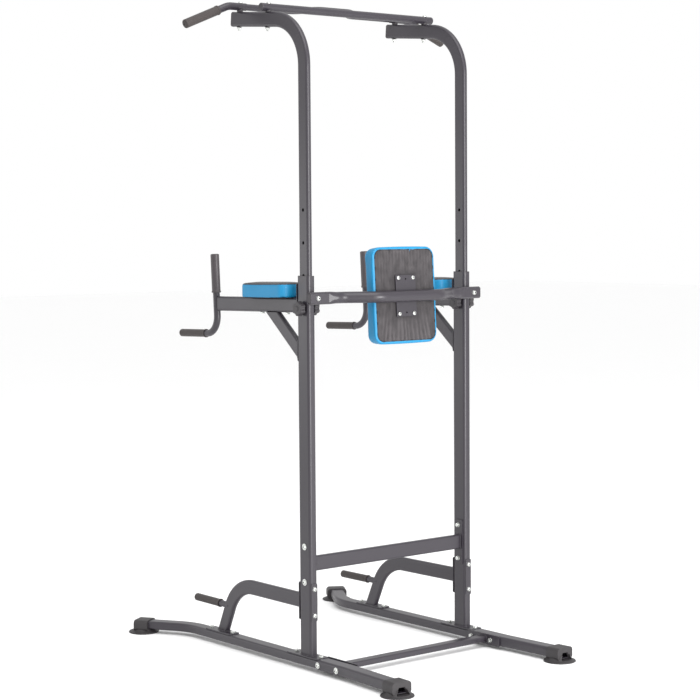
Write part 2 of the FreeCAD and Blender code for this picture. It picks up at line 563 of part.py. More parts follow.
def top_frame():
    px = POST_X
    up = neck_up()
    end = neck_point(NECK_END_Y, 0)
    path = [Vector(px, 0, NECK_BOTTOM), Vector(px, 0, NECK_CORNER_Z), end]
    neck = flat_tube(path, NECK_BEND_R, X, NECK_WIDTH, NECK_DEPTH, NECK_R, NECK_WALL)
    holes = [(Vector(px - 20, 0, KNOB_Z + k * HOLE_PITCH), X, HOLE_R, 40) for k in range(-2, 4)]
    seats = {}
    bars = (("front", FRONT_BAR_Y, WIDE_R, FRONT_SPACER_H), ("rear", REAR_BAR_Y, REAR_BAR_R, REAR_SPACER_H))
    for name, y, r, spacer_h in bars:
        seats[name] = neck_point(y, NECK_DEPTH / 2 + spacer_h + r)
        holes.append((seats[name] - up * 90, up, BOLT_HOLE_R, 120))
    both("goose_neck", drill(neck, holes))

    fwd = (end - path[1]).normalize()
    side_up = X.cross(fwd)
    rim = rounded_rect(end + fwd * 0.1, X, side_up, NECK_WIDTH, NECK_DEPTH, NECK_R)
    rim = Part.Face(rim).extrude(fwd * 17)
    rim = soften(rim, 3.0, lambda e: (e.CenterOfMass - end).dot(fwd) > 16.9)
    hollow_w, hollow_d = NECK_WIDTH - 2 * NECK_WALL, NECK_DEPTH - 2 * NECK_WALL
    shank = rounded_rect(end - fwd * 16, X, side_up, hollow_w, hollow_d, 6.5)
    both("neck_cap", rim.fuse(Part.Face(shank).extrude(fwd * 16.2)).removeSplitter())

    # plastic shoe closing the inner tube's lower end and running inside the post
    w, d = POST_WIDTH - 2 * POST_WALL - 2 * SLIDE_FIT, POST_DEPTH - 2 * POST_WALL - 2 * SLIDE_FIT
    bottom = Vector(px, 0, NECK_BOTTOM)
    shoe = Part.Face(rounded_rect(bottom - Z * 25, X, Y, w, d, POST_R - POST_WALL)).extrude(Z * 24.9)
    peg = rounded_rect(bottom - Z, X, Y, hollow_w, hollow_d, 6.5)
    both("neck_shoe", shoe.fuse(Part.Face(peg).extrude(Z * 25)).removeSplitter())

    front, rear = seats["front"], seats["rear"]
    # straight pull-up bar
    ends = [Vector(s * REAR_BAR_HALF, rear.y, rear.z) for s in (-1, 1)]
    bar = round_tube(ends, 0, REAR_BAR_R, 1.8)
    bar_holes = [(Vector(s * px, rear.y, rear.z) - up * 30, up, BOLT_HOLE_R, 60) for s in (-1, 1)]
    add("pull_up_bar", drill(bar, bar_holes))
    caps = []
    for s in (-1, 1):
        p = Vector(s * (REAR_BAR_HALF + 0.1), rear.y, rear.z)
        cap = soften(cyl(p, X * s, REAR_BAR_R, 4), 2.0, lambda e: abs(e.CenterOfMass.x) > REAR_BAR_HALF + 3)
        caps.append(cap.fuse(cyl(p - X * (s * 12), X * s, REAR_BAR_R - 1.8, 12.5)).removeSplitter())
    add("pull_up_bar_caps", Part.makeCompound(caps))

    # bent wide-grip ends, and the bowed centre bar that plugs into them
    y, z = front.y, front.z
    wide = [Vector(322, y, z), Vector(395, y, z), Vector(562, y, z - 68)]
    tube = round_tube(wide, 70, WIDE_R, 1.5)
    vertical = [(Vector(px, y, z) - up * 30, up, BOLT_HOLE_R, 60)]
    both("wide_bar", drill(tube, vertical))
    centre = [Vector(366, y, z), Vector(122, y, z), Vector(74, y + 84, z),
              Vector(-74, y + 84, z), Vector(-122, y, z), Vector(-366, y, z)]
    tube = round_tube(centre, 38, CENTRE_R, 1.5)
    vertical += [(Vector(-px, y, z) - up * 30, up, BOLT_HOLE_R, 60)]
    add("centre_bar", drill(tube, vertical))
    d = (wide[2] - wide[1]).normalize()
    tip = wide[2] + d * 10
    grip = soften(cyl(tip - d * 145, d, GRIP_R, 145), 3.0, lambda e: e.CenterOfMass.x > 560)
    grip = grip.cut(cyl(tip - d * 155, d, WIDE_R + 0.05, 145.5)).cut(cyl(tip - d * 12, d, 2.5, 15))
    both("wide_grip", grip)

    spacers = []
    bolts = []
    for s in (-1, 1):
        for name, _, bar_r, spacer_h in bars:
            seat = Vector(s * px, seats[name].y, seats[name].z)
            base_at = seat - up * (bar_r + spacer_h - 0.05)
            block = cyl(base_at, up, 10.5, spacer_h + 5)
            block = block.cut(cyl(Vector(seat.x - 30, seat.y, seat.z), X, bar_r + 0.05, 60))
            spacers.append(block.cut(cyl(base_at - up, up, BOLT_HOLE_R, 30)))
            under = seat - up * (bar_r + spacer_h + NECK_DEPTH + 0.05)
            washer = cyl(under - up * 1.4, up, 9.0, 1.4)
            spacers.append(washer.cut(cyl(under - up * 3, up, BOLT_HOLE_R, 9)))
            bolts.append(long_bolt(seat + up * (bar_r + 0.2), up, under - up * 1.45))
    add("bar_spacers", Part.makeCompound(spacers))
    add("bar_bolts", Part.makeCompound(bolts))


def long_bolt(head_at, axis, nut_at):
    """Bolt through a bar and the goose neck, with a nut and a short thread end below."""
    shank = cyl(nut_at - axis * NUT_THREAD, axis, BOLT_R, (head_at - nut_at).Length + NUT_THREAD + 1.2)
    head = dome(head_at + axis * 1.2, axis, LONG_HEAD_R, LONG_HEAD_H)
    collar = cyl(head_at + axis * 0.4, axis, 5.5, 1.2)
    nut = hexagon(nut_at - axis * NUT_H, axis, NUT_ACROSS, NUT_H)
    return shank.fuse(head).fuse(collar).fuse(nut).removeSplitter()


def star_knob(side):
    """Six-lobed hand knob with its screw, on the outer (+1) or inner (-1) face of the +X post."""
    out = X * side
    face = Vector(POST_X + side * POST_WIDTH / 2, 0, KNOB_Z)
    base = face + out * KNOB_LIFT
    body = cyl(base, out, KNOB_R, KNOB_T)
    for k in range(6):
        t = math.radians(60 * k + 30)
        radial = Y * math.cos(t) + Z * math.sin(t)
        body = body.fuse(cyl(base + radial * LOBE_AT, out, LOBE_R, KNOB_T))
    for k in range(6):
        t = math.radians(60 * k)
        radial = Y * math.cos(t) + Z * math.sin(t)
        body = body.cut(cyl(base + radial * NOTCH_AT - out, out, NOTCH_R, 30.0))
    body = body.removeSplitter()
    rim_at = POST_WIDTH / 2 + KNOB_LIFT + KNOB_T
    body = soften(body, 1.6, lambda e: abs(abs(e.CenterOfMass.x - POST_X) - rim_at) < 0.2
                  and e.BoundBox.XLength < 0.1)
    hub = cyl(face + out * 0.4, out, KNOB_HUB_R, KNOB_LIFT)
    screw = cyl(face - out * 4.4, out, KNOB_SCREW_R, 8.0)
    return body.fuse(hub).fuse(screw).removeSplitter()


def fasteners():
    px = POST_X
    seat = POST_BOTTOM + SEAT_GAP
    rail_bottom = RAIL_Z - RAIL_H / 2
    outer = px + (RAIL_W + REAR_GROW) / 2 + SEAT_GAP
    flange = px - (RAIL_W + REAR_GROW) / 2 - PAINT_GAP - CROSS_FLANGE_T - SEAT_GAP
    base_bolts = []
    for s in (-1, 1):
        for y in RAIL_BOLT_Y:
            base_bolts.append(bolt(Vector(s * outer, y, RAIL_Z), X * s, outer - flange, "dome", 10.5))
        for y in BASE_BOLT_Y + BRACE_FOOT_BOLT_Y:
            base_bolts.append(bolt(Vector(s * px, y, seat), Z, seat + SEAT_GAP - rail_bottom, "hex", 8.0, False))
    add("base_bolts", Part.makeCompound(base_bolts))

    post_bolts = []
    front_face = -POST_DEPTH / 2 - PAINT_GAP - BRACE_PLATE_T - SEAT_GAP
    side_face = px + POST_WIDTH / 2 + SEAT_GAP
    inner_face = px - POST_WIDTH / 2 - PAINT_GAP - LOW_PLATE_T - SEAT_GAP
    rear_face = POST_DEPTH / 2 + PAINT_GAP + BACK_PLATE_T + SEAT_GAP
    bar_face = BACK_BAR_END_Y + BACK_BAR_FLAT_T / 2 + SEAT_GAP
    boss_nut_y = POST_DEPTH / 2 - POST_WALL + 0.4
    for z in LOW_BOLT_Z:
        post_bolts.append(bolt(Vector(side_face, 0, z), X, side_face - inner_face, "dome", 11.0))
    for z in BRACE_BOLT_Z:
        post_bolts.append(bolt(Vector(px, rear_face, z), Y, rear_face - front_face, "dome", 8.0))
    post_bolts.append(bolt(Vector(px, front_face, ARM_BOLT_Z), Y * -1, 5.2, "hex", 0, False))
    post_bolts.append(bolt(Vector(px, bar_face, BACK_BAR_Z), Y, bar_face - boss_nut_y, "dome", 8.0, False))
    both("post_bolts", Part.makeCompound(post_bolts))

    screws = []
    for y in ARM_SCREW_Y:
        drop = (front_face - y) * math.tan(math.radians(ARM_DROP_DEG))
        under = ARM_Z - ARM_H / 2 - drop - 0.3
        screws.append(toe_in(bolt(Vector(px, y, under), Z * -1, ARM_H + 0.2, "hex", 7.5, False, 3.0)))
    screws += [mirrored(screw) for screw in screws]
    add("arm_pad_screws", Part.makeCompound(screws))


def main():
    base()
    post()
    lower_cross_bar()
    side_brace()
    dip_arm()
    back_rest()
    top_frame()
    both("outer_knob", star_knob(1))
    both("inner_knob", star_knob(-1))
    fasteners()
    os.makedirs("parts", exist_ok=True)
    low, high = Vector(1e9, 1e9, 1e9), Vector(-1e9, -1e9, -1e9)
    for name in sorted(NODES):
        shape = NODES[name]
        shape.translate(Vector(0, POST_Y, 0))
        b = shape.BoundBox
        low = Vector(min(low.x, b.XMin), min(low.y, b.YMin), min(low.z, b.ZMin))
        high = Vector(max(high.x, b.XMax), max(high.y, b.YMax), max(high.z, b.ZMax))
        shape.exportStep("parts/" + name + ".step")
        print(name, len(shape.Solids), shape.isValid(), round(shape.Volume / 1000, 1))
    print("nodes", len(NODES), "low", low, "high", high, "centre y", (low.y + high.y) / 2)


main()
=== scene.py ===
"""Looks of the power tower: finishes, upholstery, fasteners and welds around its CAD frame."""

import json
import logging
from dataclasses import dataclass
from enum import Enum
from functools import cache
from math import atan2, copysign, cos, hypot, pi, radians, sin, sqrt, tau
from typing import Callable, Iterable, Optional

import bmesh
import bpy
from bmesh.types import BMVert, BMesh
from bpy.types import ID, Material, Mesh, Node, NodeSocket, NodeTree, Object
from mathutils import Matrix, Vector, noise
from mathutils.bvhtree import BVHTree


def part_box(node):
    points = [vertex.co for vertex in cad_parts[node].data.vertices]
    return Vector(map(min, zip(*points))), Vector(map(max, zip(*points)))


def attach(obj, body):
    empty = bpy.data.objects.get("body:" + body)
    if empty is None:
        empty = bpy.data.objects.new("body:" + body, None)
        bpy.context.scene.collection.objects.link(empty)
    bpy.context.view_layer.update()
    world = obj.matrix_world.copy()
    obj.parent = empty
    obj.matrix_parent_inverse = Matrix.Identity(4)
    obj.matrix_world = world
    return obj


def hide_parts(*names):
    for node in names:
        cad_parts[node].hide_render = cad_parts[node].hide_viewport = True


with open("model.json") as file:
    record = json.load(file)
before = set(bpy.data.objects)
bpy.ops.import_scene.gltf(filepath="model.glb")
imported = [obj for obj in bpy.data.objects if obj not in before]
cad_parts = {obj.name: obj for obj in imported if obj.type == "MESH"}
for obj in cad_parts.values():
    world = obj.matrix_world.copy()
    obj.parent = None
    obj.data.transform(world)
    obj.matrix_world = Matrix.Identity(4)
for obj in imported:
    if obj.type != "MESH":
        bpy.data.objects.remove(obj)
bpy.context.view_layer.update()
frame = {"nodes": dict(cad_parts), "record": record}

MM = 0.001
SLIVER = 4 * MM
AXIS_X, AXIS_Y, AXIS_Z = Vector((1, 0, 0)), Vector((0, 1, 0)), Vector((0, 0, 1))
QUARTER = {axis: Matrix.Rotation(radians(90), 4, axis) for axis in "XYZ"}
Triple = tuple[float, float, float]
log = logging.getLogger("power_tower")


class Body(Enum):
    """The CAD bodies that pieces ride on."""

    BASE = "base_frame"
    TOP = "top_frame"
    OUTER_KNOB_L = "outer_knob_l"
    OUTER_KNOB_R = "outer_knob_r"
    INNER_KNOB_L = "inner_knob_l"
    INNER_KNOB_R = "inner_knob_r"


class Slot(Enum):
    """The record's material slots."""

    FRAME = "frame_paint"
    FOOT = "foot_rubber"
    GRIP = "grip_rubber"
    PLASTIC = "black_plastic"
    KNOB = "knob_plastic"
    VINYL = "pad_vinyl"
    COVER = "cover_fabric"
    ZINC = "zinc"


class Head(Enum):
    """The two kinds of bolt head on the tower."""

    BUTTON = "button"
    HEX = "hex"


class Side(Enum):
    """The tower's two sides: l is +X and r is -X."""

    LEFT = 1
    RIGHT = -1

    @property
    def tag(self) -> str:
        """The letter that the CAD nodes of this side end in."""
        return "l" if self is Side.LEFT else "r"


# ---- finishes


def srgb(code: str) -> tuple[float, float, float, float]:
    """Turn an sRGB hex colour into linear RGBA.

    Args:
        code: six hex digits after a hash.

    Returns:
        The linear colour, with alpha 1.
    """
    parts = [int(code[i:i + 2], 16) / 255 for i in (1, 3, 5)]
    linear = [c / 12.92 if c <= 0.04045 else ((c + 0.055) / 1.055) ** 2.4 for c in parts]
    return (linear[0], linear[1], linear[2], 1.0)


def add_node(tree: NodeTree, kind: str, settings: Optional[dict] = None,
             values: Optional[dict] = None, links: Optional[dict] = None) -> Node:
    """Add one node to a tree.

    Args:
        tree: the material's node tree.
        kind: the node's type name.
        settings: the node's own properties.
        values: numbers and colours for its inputs.
        links: the output sockets that feed its inputs.

    Returns:
        The new node.
    """
    node = tree.nodes.new(kind)
    for name, value in (settings or {}).items():
        setattr(node, name, value)
    for key, value in (values or {}).items():
        node.inputs[key].default_value = value
    for key, socket in (links or {}).items():
        tree.links.new(socket, node.inputs[key])
    return node


@dataclass(frozen=True)
class Finish:
    """A surface: its colours, its gloss and the size of its grain, in millimetres."""

    name: str
    colour: str
    shade: str
    roughness: float
    drift_mm: float = 60.0
    grain_mm: float = 1.5
    grain_depth_mm: float = 0.05
    gloss_spread: float = 0.05
    metallic: float = 0.0
    coat: float = 0.0
    sheen: float = 0.0

    def grain(self, tree: NodeTree, coords: NodeSocket) -> NodeSocket:
        """Return the height of the surface's fine relief, here an even noise."""
        scale = 1.0 / (self.grain_mm * MM)
        values = {"Scale": scale, "Detail": 2.0, "Roughness": 0.5}
        return add_node(tree, "ShaderNodeTexNoise", values=values, links={"Vector": coords}).outputs["Fac"]

    def shading(self, tree: NodeTree, drift: NodeSocket) -> NodeSocket:
        """Return how much of the shade colour shows, from 0 to 1."""
        return drift

    def build(self) -> Material:
        """Make the material.

        Returns:
            A node material on Object coordinates.
        """
        material = bpy.data.materials.new(self.name)
        material.use_nodes = True
        material.diffuse_color = srgb(self.colour)
        tree = material.node_tree
        tree.nodes.clear()
        coords = add_node(tree, "ShaderNodeTexCoord").outputs["Object"]
        values = {"Scale": 1.0 / (self.drift_mm * MM), "Detail": 4.0, "Roughness": 0.55}
        drift = add_node(tree, "ShaderNodeTexNoise", values=values, links={"Vector": coords}).outputs["Fac"]
        values = {6: srgb(self.colour), 7: srgb(self.shade)}
        tint = add_node(tree, "ShaderNodeMix", {"data_type": "RGBA"}, values,
                        {0: self.shading(tree, drift)}).outputs[2]
        values = {"To Min": self.roughness - self.gloss_spread, "To Max": self.roughness + self.gloss_spread}
        gloss = add_node(tree, "ShaderNodeMapRange", values=values, links={"Value": drift}).outputs["Result"]
        relief = self.grain(tree, coords)
        normal = add_node(tree, "ShaderNodeBump", values={"Distance": self.grain_depth_mm * MM},
                          links={"Height": relief}).outputs["Normal"]
        values = {"Metallic": self.metallic, "Coat Weight": self.coat, "Coat Roughness": 0.25,
                  "Sheen Weight": self.sheen, "Sheen Roughness": 0.45}
        shader = add_node(tree, "ShaderNodeBsdfPrincipled", values=values,
                          links={"Base Color": tint, "Roughness": gloss, "Normal": normal})
        add_node(tree, "ShaderNodeOutputMaterial", links={"Surface": shader.outputs["BSDF"]})
        return material


@dataclass(frozen=True)
class GrainedVinyl(Finish):
    """PVC-coated cloth embossed with a leather grain: small raised cells between fine creases."""

    def grain(self, tree: NodeTree, coords: NodeSocket) -> NodeSocket:
        """Return the height of the embossed cells."""
        values = {"Scale": 1.0 / (self.grain_mm * MM)}
        cells = add_node(tree, "ShaderNodeTexVoronoi", {"feature": "DISTANCE_TO_EDGE"}, values,
                         {"Vector": coords}).outputs["Distance"]
        limits = {"From Max": 0.25}
        return add_node(tree, "ShaderNodeMapRange", values=limits, links={"Value": cells}).outputs["Result"]


@dataclass(frozen=True)
class SpunBonded(Finish):
    """Thermally bonded polypropylene felt: fibres lying along the cloth, with painted shade that darkens it
    where it lies low in its folds and painted light on the fold ridges.
    """

    def shading(self, tree: NodeTree, drift: NodeSocket) -> NodeSocket:
        """Return how much of the painted shade shows: deepest where the cloth's own fold attribute is low,
        lightest on the fold ridges, mixed with the colour drift.
        """
        fold = add_node(tree, "ShaderNodeAttribute", {"attribute_name": "fold"}).outputs["Fac"]
        painted_fold_shade = add_node(tree, "ShaderNodeMath", {"operation": "MULTIPLY_ADD"}, {1: -0.9, 2: 0.62},
                        {0: fold}).outputs[0]
        return add_node(tree, "ShaderNodeMath", {"operation": "MULTIPLY_ADD", "use_clamp": True}, {1: 0.35},
                        {0: drift, 2: painted_fold_shade}).outputs[0]

    def grain(self, tree: NodeTree, coords: NodeSocket) -> NodeSocket:
        """Return the height of the fibres, drawn out along Z."""
        size = {"Scale": (1.0, 1.0, 0.45)}
        along = add_node(tree, "ShaderNodeMapping", values=size, links={"Vector": coords}).outputs["Vector"]
        values = {"Scale": 1.0 / (self.grain_mm * MM), "Detail": 5.0, "Roughness": 0.7}
        return add_node(tree, "ShaderNodeTexNoise", values=values, links={"Vector": along}).outputs["Fac"]


# Satin polyester powder coat on steel tube, baked: a soft sheen with a fine orange peel.
POWDER_COAT = Finish("powder_coated_steel", "#2F2B32", "#2A262D", 0.40, 180.0, 2.6, 0.05, 0.04, coat=0.12)
# Natural-rubber boots, compression moulded: brownish black and slightly bloomed.
BOOT_RUBBER = Finish("moulded_rubber", "#312E30", "#272426", 0.58, 25.0, 1.6, 0.07, 0.06)
# Foamed nitrile rubber sleeves: matt, with an open fine skin.
FOAM_GRIP = Finish("foamed_rubber_sleeve", "#37302F", "#2C2726", 0.72, 14.0, 1.4, 0.16, 0.05, sheen=0.12)
# Dipped PVC hand grips: smoother and shinier than the foam.
DIPPED_GRIP = Finish("dipped_pvc_grip", "#403A3D", "#373235", 0.42, 30.0, 3.0, 0.05, 0.05)
# Moulded polypropylene caps and bushes, coloured to match the paint.
GREY_PLASTIC = Finish("moulded_polypropylene", "#3B373B", "#343035", 0.50, 20.0, 1.2, 0.03, 0.04)
# Moulded ABS knobs with a spark-eroded texture.
KNOB_PLASTIC = Finish("moulded_abs", "#333033", "#2A272B", 0.46, 12.0, 1.0, 0.07, 0.05)
# Zinc-plated steel with a clear passivation: bright, with faint cloudy patches.
ZINC_PLATE = Finish("zinc_plated_steel", "#DFE0DC", "#C4C7C5", 0.26, 6.0, 0.8, 0.01, 0.07, metallic=1.0)
# Blued steel staples.
STAPLE_STEEL = Finish("blued_staple_steel", "#2A282B", "#1E1C1F", 0.40, 4.0, 0.8, 0.01, 0.05, metallic=0.6)
# Cyan upholstery vinyl; its 1.1 mm grain is drawn at 2.4 mm so that it shows.
BLUE_VINYL = GrainedVinyl("blue_upholstery_vinyl", "#0080B0", "#0077A4", 0.50, 70.0, 2.4, 0.10, 0.04)
# Charcoal upholstery vinyl on the faces that the user leans on.
DARK_VINYL = GrainedVinyl("charcoal_upholstery_vinyl", "#2F2C30", "#272427", 0.46, 70.0, 2.4, 0.12, 0.04)
# Black non-woven backing cloth; its 0.3 mm fibres are drawn at 1.6 mm so that they show.
# The much darker second colour is painted shade, which the material lays where the gathered cloth lies low.
BACKING_CLOTH = SpunBonded("spun_bonded_backing", "#464244", "#1F1C1E", 0.80, 22.0, 1.6, 0.14, 0.05,
                           sheen=0.06)
# Matt white studio floor.
STUDIO_FLOOR = Finish("studio_floor_paint", "#FDFDFD", "#FCFCFC", 0.85, 900.0, 4.0, 0.02, 0.03)


@cache
def material_of(finish: Finish) -> Material:
    """Return the material of a finish, made the first time that it is asked for."""
    return finish.build()


# ---- mesh tools


def link(name: str, data: ID) -> Object:
    """Put a new object that holds data in the scene."""
    item = bpy.data.objects.new(name, data)
    bpy.context.scene.collection.objects.link(item)
    return item


def at(spot: Vector, turn: Matrix) -> Matrix:
    """Return the place that turns a piece and then moves it to spot."""
    return Matrix.Translation(spot) @ turn


def unit(value: float) -> float:
    """Return a value held between 0 and 1."""
    return min(1.0, max(0.0, value))


def chamfer_edges(bm: BMesh, width: float) -> None:
    """Bevel every edge of a bmesh in two steps."""
    bmesh.ops.bevel(bm, geom=bm.edges[:], offset=width, segments=2, profile=0.5, affect="EDGES", material=-1)


def add_piece(name: str, mesh: Mesh, body: Body,
              finishes: Iterable[Finish]) -> Object:
    """Put a finished mesh in the scene as a piece of the tower.

    Args:
        name: the piece's name.
        mesh: its mesh, already in place.
        body: the CAD body that carries it.
        finishes: its materials, in the order of the mesh's material indices.

    Returns:
        The new object, at the origin.
    """
    mesh.name = name
    kept = [face.material_index for face in mesh.polygons]
    mesh.materials.clear()
    for finish in finishes:
        mesh.materials.append(material_of(finish))
    mesh.polygons.foreach_set("material_index", [min(index, len(mesh.materials) - 1) for index in kept])
    mesh.polygons.foreach_set("use_smooth", [True] * len(mesh.polygons))
    piece = link(name, mesh)
    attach(piece, body.value)
    log.info("%s: %d faces on %s", name, len(mesh.polygons), body.value)
    return piece


def to_mesh(bm: BMesh, name: str) -> Mesh:
    """Turn a bmesh into a mesh, and free the bmesh."""
    mesh = bpy.data.meshes.new(name)
    bm.to_mesh(mesh)
    bm.free()
    return mesh


def facing(axis: Vector) -> Matrix:
    """Return the turn that takes +Z to axis."""
    return axis.to_track_quat("Z", "Y").to_matrix().to_4x4()


def lathe(profile: list[tuple[float, float]], steps: int = 32) -> Mesh:
    """Turn a profile about Z.

    Args:
        profile: radius and height pairs, in metres, in order along the outline.
        steps: how many steps the turn has.

    Returns:
        A closed mesh with its faces outwards.
    """
    bm = bmesh.new()
    verts = [bm.verts.new((radius, 0.0, height)) for radius, height in profile]
    edges = [bm.edges.new(pair) for pair in zip(verts, verts[1:])]
    bmesh.ops.spin(bm, geom=verts + edges, cent=(0, 0, 0), axis=(0, 0, 1), dvec=(0, 0, 0), angle=tau,
                   steps=steps, use_merge=True, use_normal_flip=False, use_duplicate=False)
    bmesh.ops.remove_doubles(bm, verts=bm.verts, dist=1e-6)
    bmesh.ops.recalc_face_normals(bm, faces=bm.faces)
    return to_mesh(bm, "turned")


def prism(sides: int, radius: float, depth: float, chamfer: float) -> Mesh:
    """Make a prism that stands on the origin along Z, with its edges chamfered.

    Args:
        sides: how many sides it has.
        radius: its radius over the corners.
        depth: its height.
        chamfer: the width of the chamfer.

    Returns:
        A closed mesh with its faces outwards.
    """
    bm = bmesh.new()
    bmesh.ops.create_cone(bm, cap_ends=True, segments=sides, radius1=radius, radius2=radius, depth=depth)
    bmesh.ops.translate(bm, vec=(0, 0, depth / 2), verts=bm.verts)
    chamfer_edges(bm, chamfer)
    return to_mesh(bm, "prism")


def placed(mesh: Mesh, place: Matrix) -> Mesh:
    """Return a mesh moved to its place."""
    mesh.transform(place)
    return mesh


def tube_mesh(name: str, points: list[Vector], radius: float, cyclic: bool,
              ripple: float = 0.0) -> Mesh:
    """Make a thin round bead through points.

    Args:
        name: the mesh's name.
        points: where the bead runs.
        radius: its radius.
        cyclic: whether it closes on itself.
        ripple: how much its radius swells and thins, as on a hand-laid weld.

    Returns:
        The bead's mesh.
    """
    curve = bpy.data.curves.new(name, "CURVE")
    curve.dimensions = "3D"
    curve.bevel_depth = radius
    curve.bevel_resolution = 2
    curve.use_fill_caps = not cyclic
    spline = curve.splines.new("POLY")
    spline.points.add(len(points) - 1)
    for i, point in enumerate(points):
        spline.points[i].co = (*point, 1.0)
        spline.points[i].radius = 1.0 + ripple * sin(i * 2.1)
    spline.use_cyclic_u = cyclic
    holder = link(name, curve)
    graph = bpy.context.evaluated_depsgraph_get()
    mesh = bpy.data.meshes.new_from_object(holder.evaluated_get(graph))
    bpy.data.objects.remove(holder)
    bpy.data.curves.remove(curve)
    return mesh


def joined(name: str, meshes: Iterable[Mesh]) -> Mesh:
    """Return one mesh that holds all the given ones."""
    bm = bmesh.new()
    for mesh in meshes:
        bm.from_mesh(mesh)
        bpy.data.meshes.remove(mesh)
    return to_mesh(bm, name)


def rounded_loop(width: float, height: float, corner: float, step: float) -> list[tuple[float, float]]:
    """Return points evenly spaced round a rectangle with round corners.

    Args:
        width: its whole width.
        height: its whole height.
        corner: its corner radius.
        step: the wished spacing of the points.

    Returns:
        (across, up) pairs, counter-clockwise.
    """
    a, b = width / 2 - corner, height / 2 - corner
    quarter = corner * pi / 2
    runs = [(a, b, 0.0, 2 * a), (-a, b, 90.0, 2 * b), (-a, -b, 180.0, 2 * a), (a, -b, 270.0, 2 * b)]
    points: list[tuple[float, float]] = []
    for ca, cb, start, straight in runs:
        turns = max(3, round(quarter / step))
        for k in range(turns):
            t = radians(start + 90.0 * k / turns)
            points.append((ca + corner * cos(t), cb + corner * sin(t)))
        t = radians(start + 90.0)
        along = radians(start + 180.0)
        count = max(1, round(straight / step))
        for k in range(count):
            reach = straight * k / count
            points.append((ca + corner * cos(t) + reach * cos(along),
                           cb + corner * sin(t) + reach * sin(along)))
    return points


def islands(node: str) -> list[list[Vector]]:
    """Return the points of each loose solid in a CAD node, leaving out slivers."""
    bm = bmesh.new()
    bm.from_mesh(frame["nodes"][node].data)
    bmesh.ops.remove_doubles(bm, verts=bm.verts, dist=1e-6)
    seen: set[int] = set()
    found = []
    bm.verts.index_update()
    for seed in bm.verts:
        if seed.index in seen:
            continue
        seen.add(seed.index)
        stack, group = [seed], []
        while stack:
            vert = stack.pop()
            group.append(vert.co.copy())
            for edge in vert.link_edges:
                other = edge.other_vert(vert)
                if other.index not in seen:
                    seen.add(other.index)
                    stack.append(other)
        if max((point - group[0]).length for point in group) > SLIVER:
            found.append(group)
    bm.free()
    return found


def corners(points: list[Vector]) -> tuple[Vector, Vector]:
    """Return the lowest and highest corner of some points."""
    low = Vector([min(p[i] for p in points) for i in range(3)])
    high = Vector([max(p[i] for p in points) for i in range(3)])
    return low, high


def long_axis(node: str, out: Vector) -> tuple[Vector, Vector, float, float]:
    """Find the centre line of a straight round CAD node.

    Args:
        node: the node's name.
        out: roughly which way its closed end points.

    Returns:
        Its centre, its direction, half its length and its radius.
    """
    points = [vert.co.copy() for vert in frame["nodes"][node].data.vertices]
    centre = sum(points, Vector()) / len(points)
    axis = out.normalized()
    for _ in range(24):
        axis = sum(((p - centre) * (p - centre).dot(axis) for p in points), Vector()).normalized()
    reach = [(p - centre).dot(axis) for p in points]
    radius = max(((p - centre) - axis * r).length for p, r in zip(points, reach))
    centre = centre + axis * ((max(reach) + min(reach)) / 2)
    if axis.dot(out) < 0:
        axis = axis * -1
    return centre, axis, (max(reach) - min(reach)) / 2, radius


def middle(node: str) -> Vector:
    """Return the centre of a CAD node's box."""
    low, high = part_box(node)
    return (low + high) / 2


# The lower cross bar lies in the plane of the two posts.
POST_PLANE = middle("lower_cross_bar").y


# ---- carried-over metal and rubber


@dataclass
class Framework:
    """The CAD nodes that show as they are, each dressed in its own finish."""

    glossy_grips: tuple[str, ...] = ("upright_grip_l", "upright_grip_r")

    def finish_of(self, node: str, slot: str) -> Finish:
        """Return the finish of a node, from its record slot."""
        if node in self.glossy_grips:
            return DIPPED_GRIP
        return {
            Slot.FRAME.value: POWDER_COAT,
            Slot.FOOT.value: BOOT_RUBBER,
            Slot.GRIP.value: FOAM_GRIP,
            Slot.PLASTIC.value: GREY_PLASTIC,
            Slot.KNOB.value: KNOB_PLASTIC,
            Slot.VINYL.value: BLUE_VINYL,
            Slot.COVER.value: BACKING_CLOTH,
            Slot.ZINC.value: ZINC_PLATE,
        }[slot]

    def build(self) -> None:
        """Dress every CAD node."""
        for part in frame["record"]["subparts"]:
            node = frame["nodes"][part["node"]]
            material = material_of(self.finish_of(part["node"], part["material_slot"]))
            for holder in node.material_slots:
                holder.material = material
        log.info("dressed %d CAD nodes", len(frame["nodes"]))


# ---- upholstery


